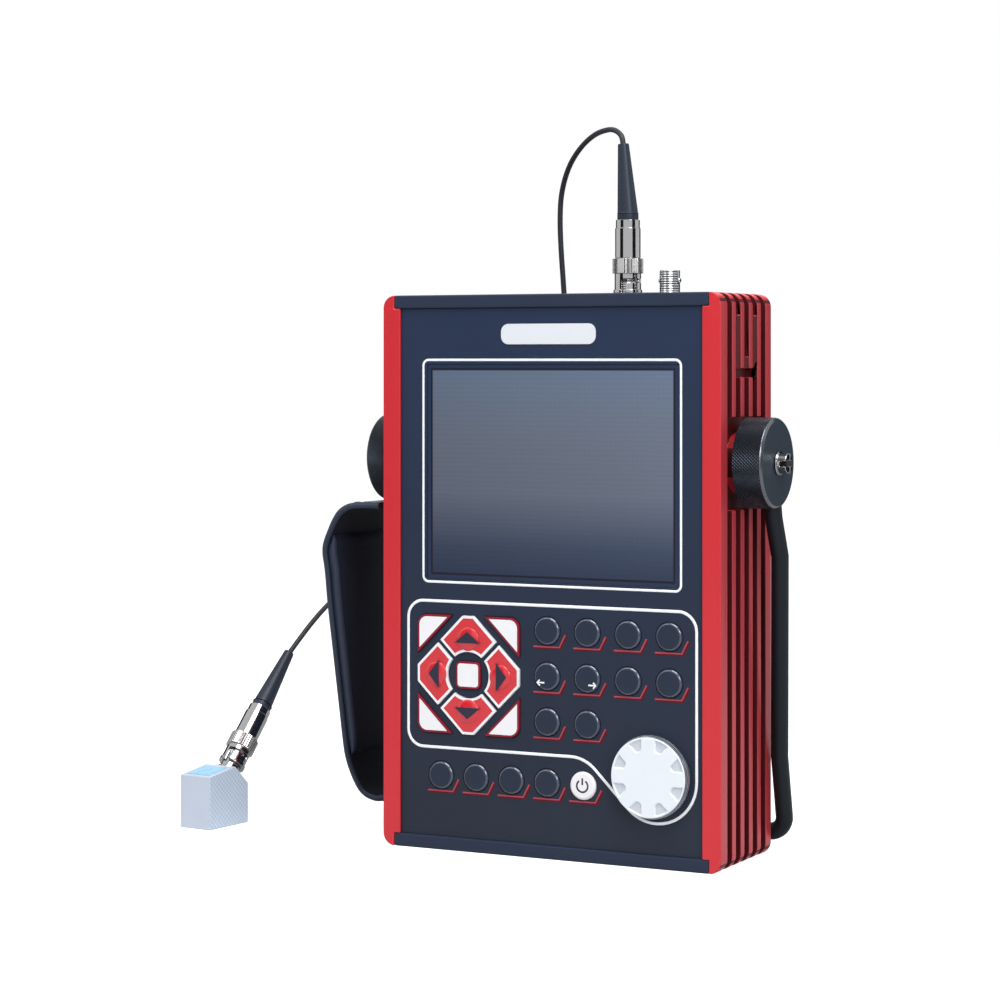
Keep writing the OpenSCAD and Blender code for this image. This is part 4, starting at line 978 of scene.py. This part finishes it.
probe_grey = finish("probe_grey", (216, 233, 252), 0.38, metallic=0.3, mottle=0.05,
                    specular=0.3, relief=hatch_relief, shade=hatch_painted_shade)
probe_flat = finish("probe_flat", (204, 214, 230), 0.36, metallic=0.25, mottle=0.04,
                    specular=0.3)
wedge_amber = finish("wedge_amber", (214, 200, 150), 0.2, coat=0.5)
label_blue = finish("label_blue", (138, 196, 228), 0.28, mottle=0.06, mottle_scale=220,
                    coat=0.15, specular=0.3)
housing = copied("probe_shell", "probe_housing", "probe_metal", probe_flat, probe_grey)
side_way = Vector((math.cos(hatch_turn[2]), math.sin(hatch_turn[2]), 0))
for face in housing.data.polygons:
    if abs(face.normal.dot(side_way)) > facing:
        face.material_index = 1
eased(housing, probe_edge)
eased(copied("probe_sole_wedge", "probe_wedge", "wedge_plastic", wedge_amber), 0)
eased(copied("probe_film", "probe_label", "label_film", label_blue), film_edge)


# The carry handle is one bent steel rod, coated black, held in two knurled hubs of black
# anodised aluminium that turn on silver bolts in the rails.
rod_r = 0.0041
pivot = Vector((0, 0, pivot_z))
bar_back, bar_z = 0.0375, 0.0094
tilt = math.atan2(bar_back, pivot_z - bar_z)
arm_drop = math.hypot(bar_back, pivot_z - bar_z)
arm_out = 0.0047
arm_points = [(0.0112, 0.009), (0.0112, 0.026), (0.0128, 0.044), (arm_out, 0.1420)]
bend_r = 0.008
bend_steps = 8
hub_edge = 0.0008
hub_ridges = 88
hub_pitch, hub_cut = 0.0016, 2.2
bolt_edge = 0.0003
rod_black = finish("rod_black", (22, 29, 35), 0.42, mottle=0.06, grain_scale=1600, specular=0.2)
hub_face_black = finish("hub_face_black", (35, 46, 58), 0.46, mottle=0.05, grain_scale=3000,
                        specular=0.2)
hub_silver = finish("hub_silver", (104, 108, 114), 0.24, metallic=0.9)
half_bar = [(rail_out + u, -drop) for u, drop in arm_points]
corner_x, corner_z = rail_out + arm_out - bend_r, -arm_drop + bend_r
half_bar += [(corner_x + bend_r * math.cos(a), corner_z - bend_r * math.sin(a))
             for a in [math.pi / 2 * k / bend_steps for k in range(bend_steps + 1)]]
bar_line = half_bar + [(-x, z) for x, z in reversed(half_bar)]
rod_line = [Vector((x, -z * math.sin(tilt), z * math.cos(tilt))) + pivot for x, z in bar_line]
rod = drawn_bars("handle_bar", [rod_line], rod_r, sides=7)
rod.data.materials.append(rod_black)
bpy.ops.object.shade_smooth_by_angle(angle=math.radians(40))
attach(rod, "handle")
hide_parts("handle_rod")
along_x = (0, math.pi / 2, 0)
hub_knurl = finish("hub_knurl", (40, 46, 56), 0.28, metallic=0.8,
                   relief=knurl(pivot, along_x, hub_ridges, hub_pitch, knurl_depth * hub_cut))
hubs = copied("hub_pair", "handle_hubs", "black_metal", hub_knurl, hub_face_black, hub_silver)
for face in hubs.data.polygons:
    if abs(face.normal.x) > facing:
        face.material_index = 1
    elif abs(face.normal.x) > 0.3:
        face.material_index = 2
eased(hubs, hub_edge / 2)
eased(copied("pivot_bolt_pair", "pivot_bolts", "bright_metal", nickel), bolt_edge)


# Inside: green circuit boards, the display module, the dial's encoder, the battery pack in its
# blue film and the jacks' nuts. They keep the CAD shapes and get their own surfaces.
board_green = finish("board_green", (24, 92, 58), 0.35, mottle=0.1, mottle_scale=160)
module_grey = finish("module_grey", (120, 122, 124), 0.45, mottle=0.05)
battery_blue = finish("battery_blue", (40, 78, 150), 0.3, mottle=0.06)
for node, surface in (("keypad_board", board_green), ("main_board", board_green),
                      ("display_module", module_grey), ("dial_encoder", module_grey),
                      ("battery_pack", battery_blue), ("jack_nuts", nickel)):
    nodes[node].data.materials.clear()
    nodes[node].data.materials.append(surface)


# The hand strap on the left arm: a firm band of black leather, stitched along both edges, with
# a padded cloth cushion inside. Two clips hold it on the handle's rod.
strap_t, strap_depth = 0.003, 0.058
strap_lean = 0.2138
strap_reach, strap_foot, strap_rise = 0.042, 0.013, 0.1503
strap_steps = 6
strap_edge_r = 0.0012
strap_shares = [
    (0.16, 1), (0.35, 1), (0.5, 0.998), (0.61, 0.99), (0.72, 0.971), (0.81, 0.941), (0.88, 0.909),
    (0.94, 0.879), (0.98, 0.852), (0.995, 0.823), (0.99, 0.79), (0.99, 0.745), (1, 0.66), (1, 0.5),
    (1, 0.34), (1, 0.2), (0.99, 0.145), (0.95, 0.095), (0.88, 0.045), (0.8, 0.018), (0.7, 0.005),
    (0.58, 0.002), (0.4, 0.018), (0.231, 0.0466)]
cushion_t = 0.005
cushion_r = 0.0017
cushion_crown = 0.0009
cushion_ends = (0.15, 0.9)
cushion_taper, cushion_tip, cushion_narrow = 0.014, 0.12, 0.06
cushion_from, stitches_from = -0.12, -0.1
across_steps, edge_steps = 10, 5
stitch_l, stitch_step = 0.0032, 0.0048
stitch_r = 0.00035
stitch_margin = 0.0045
leather_black = finish("leather_black", (44, 52, 70), 0.46, mottle=0.16, mottle_scale=90,
                       grain_scale=700, grain_depth=0.00016, specular=0.3)
strap_lining = finish("strap_lining", (24, 28, 38), 0.8, mottle=0.12, mottle_scale=120,
                      grain_scale=1100, grain_depth=0.0001, specular=0.12)
cushion_cloth = finish("cushion_cloth", (28, 33, 46), 0.8, mottle=0.14, mottle_scale=120,
                       grain_scale=1500, grain_depth=0.0001, specular=0.15)
stitch_thread = finish("stitch_thread", (84, 92, 112), 0.7, mottle=0.08, mottle_scale=900)
strap_line = smooth_through([(-rail_out - x * strap_reach, 0, strap_foot + z * strap_rise)
                             for x, z in strap_shares], strap_steps)


def leaned(point):
    """A point of the strap, moved back with the handle's lean."""
    return Vector((point.x, point.y + (pivot_z - point.z) * strap_lean, point.z))


def swept(name, line, low, high, half_depth, corner_r, crown, taper, outside, inside):
    """A soft band along a line, from low to high inside it, with rounded edges and ends."""
    middle, half_t = (low + high) / 2, (high - low) / 2
    section = []
    for side, way in ((-1, 1), (1, -1)):
        for k in range(across_steps + 1):
            y = way * (half_depth - corner_r) * (2 * k / across_steps - 1)
            swell = crown * (1 - (y / half_depth) ** 2) if side > 0 else 0
            section.append((side * half_t + swell, y))
        for k in range(1, edge_steps):
            turn = math.radians(180 * k / edge_steps)
            section.append((side * (half_t - corner_r + corner_r * math.cos(turn)),
                            way * (half_depth - corner_r + corner_r * math.sin(turn))))
    points, faces = [], []
    walked = [0.0]
    for a, b in zip(line, line[1:]):
        walked.append(walked[-1] + (b - a).length)
    for i, here in enumerate(line):
        along = (line[min(i + 1, len(line) - 1)] - line[max(i - 1, 0)]).normalized()
        inward = Vector((-along.z, 0, along.x))
        from_end = min(walked[i], walked[-1] - walked[i])
        share = 1.0
        if taper and from_end < taper:
            share = cushion_tip + (1 - cushion_tip) * math.sqrt(1 - (1 - from_end / taper) ** 2)
        for n, y in section:
            points.append(leaned(here + inward * (low + (middle - low + n) * share)
                                 + Vector((0, y * (1 - cushion_narrow * (1 - share)), 0))))
    count = len(section)
    for i in range(len(line) - 1):
        for k in range(count):
            a, b = i * count + k, i * count + (k + 1) % count
            faces.append((a, b, b + count, a + count))
    faces.append(tuple(range(count)))
    faces.append(tuple(range(len(points) - 1, len(points) - count - 1, -1)))
    mesh = bpy.data.meshes.new(name)
    mesh.from_pydata(points, [], faces)
    piece = bpy.data.objects.new(name, mesh)
    bpy.context.scene.collection.objects.link(piece)
    piece.data.materials.append(outside)
    piece.data.materials.append(inside)
    for i in range((len(line) - 1) * count):
        mesh.polygons[i].material_index = int(count // 2 <= i % count < count // 2 + across_steps)
    faced_out(piece)
    bpy.ops.object.shade_smooth_by_angle(angle=math.radians(50))
    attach(piece, "handle")
    return piece


band = swept("strap_band", strap_line, 0, strap_t, strap_depth / 2, strap_edge_r, 0, 0,
             leather_black, strap_lining)
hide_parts("hand_strap")
cushion_line = [p for p in strap_line if p.x < cushion_from
                and cushion_ends[0] < (p.z - strap_foot) / strap_rise < cushion_ends[1]]
cushion = swept("strap_cushion", cushion_line, strap_t, strap_t + cushion_t, strap_depth / 2,
                cushion_r, cushion_crown, cushion_taper, leather_black,
                cushion_cloth)
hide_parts("strap_pad")
stitches = []
walked = 0.0
for a, b in zip(strap_line, strap_line[1:]):
    walked += (b - a).length
    if walked >= stitch_step and a.x < stitches_from:
        walked = 0.0
        along = (b - a).normalized()
        for edge in (-1, 1):
            start = a + Vector((0, edge * (strap_depth / 2 - stitch_margin), 0))
            stitches.append([leaned(start), leaned(start + along * stitch_l)])
thread = drawn_bars("strap_stitches", stitches, stitch_r, sides=1)
thread.data.materials.append(stitch_thread)
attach(thread, "handle")
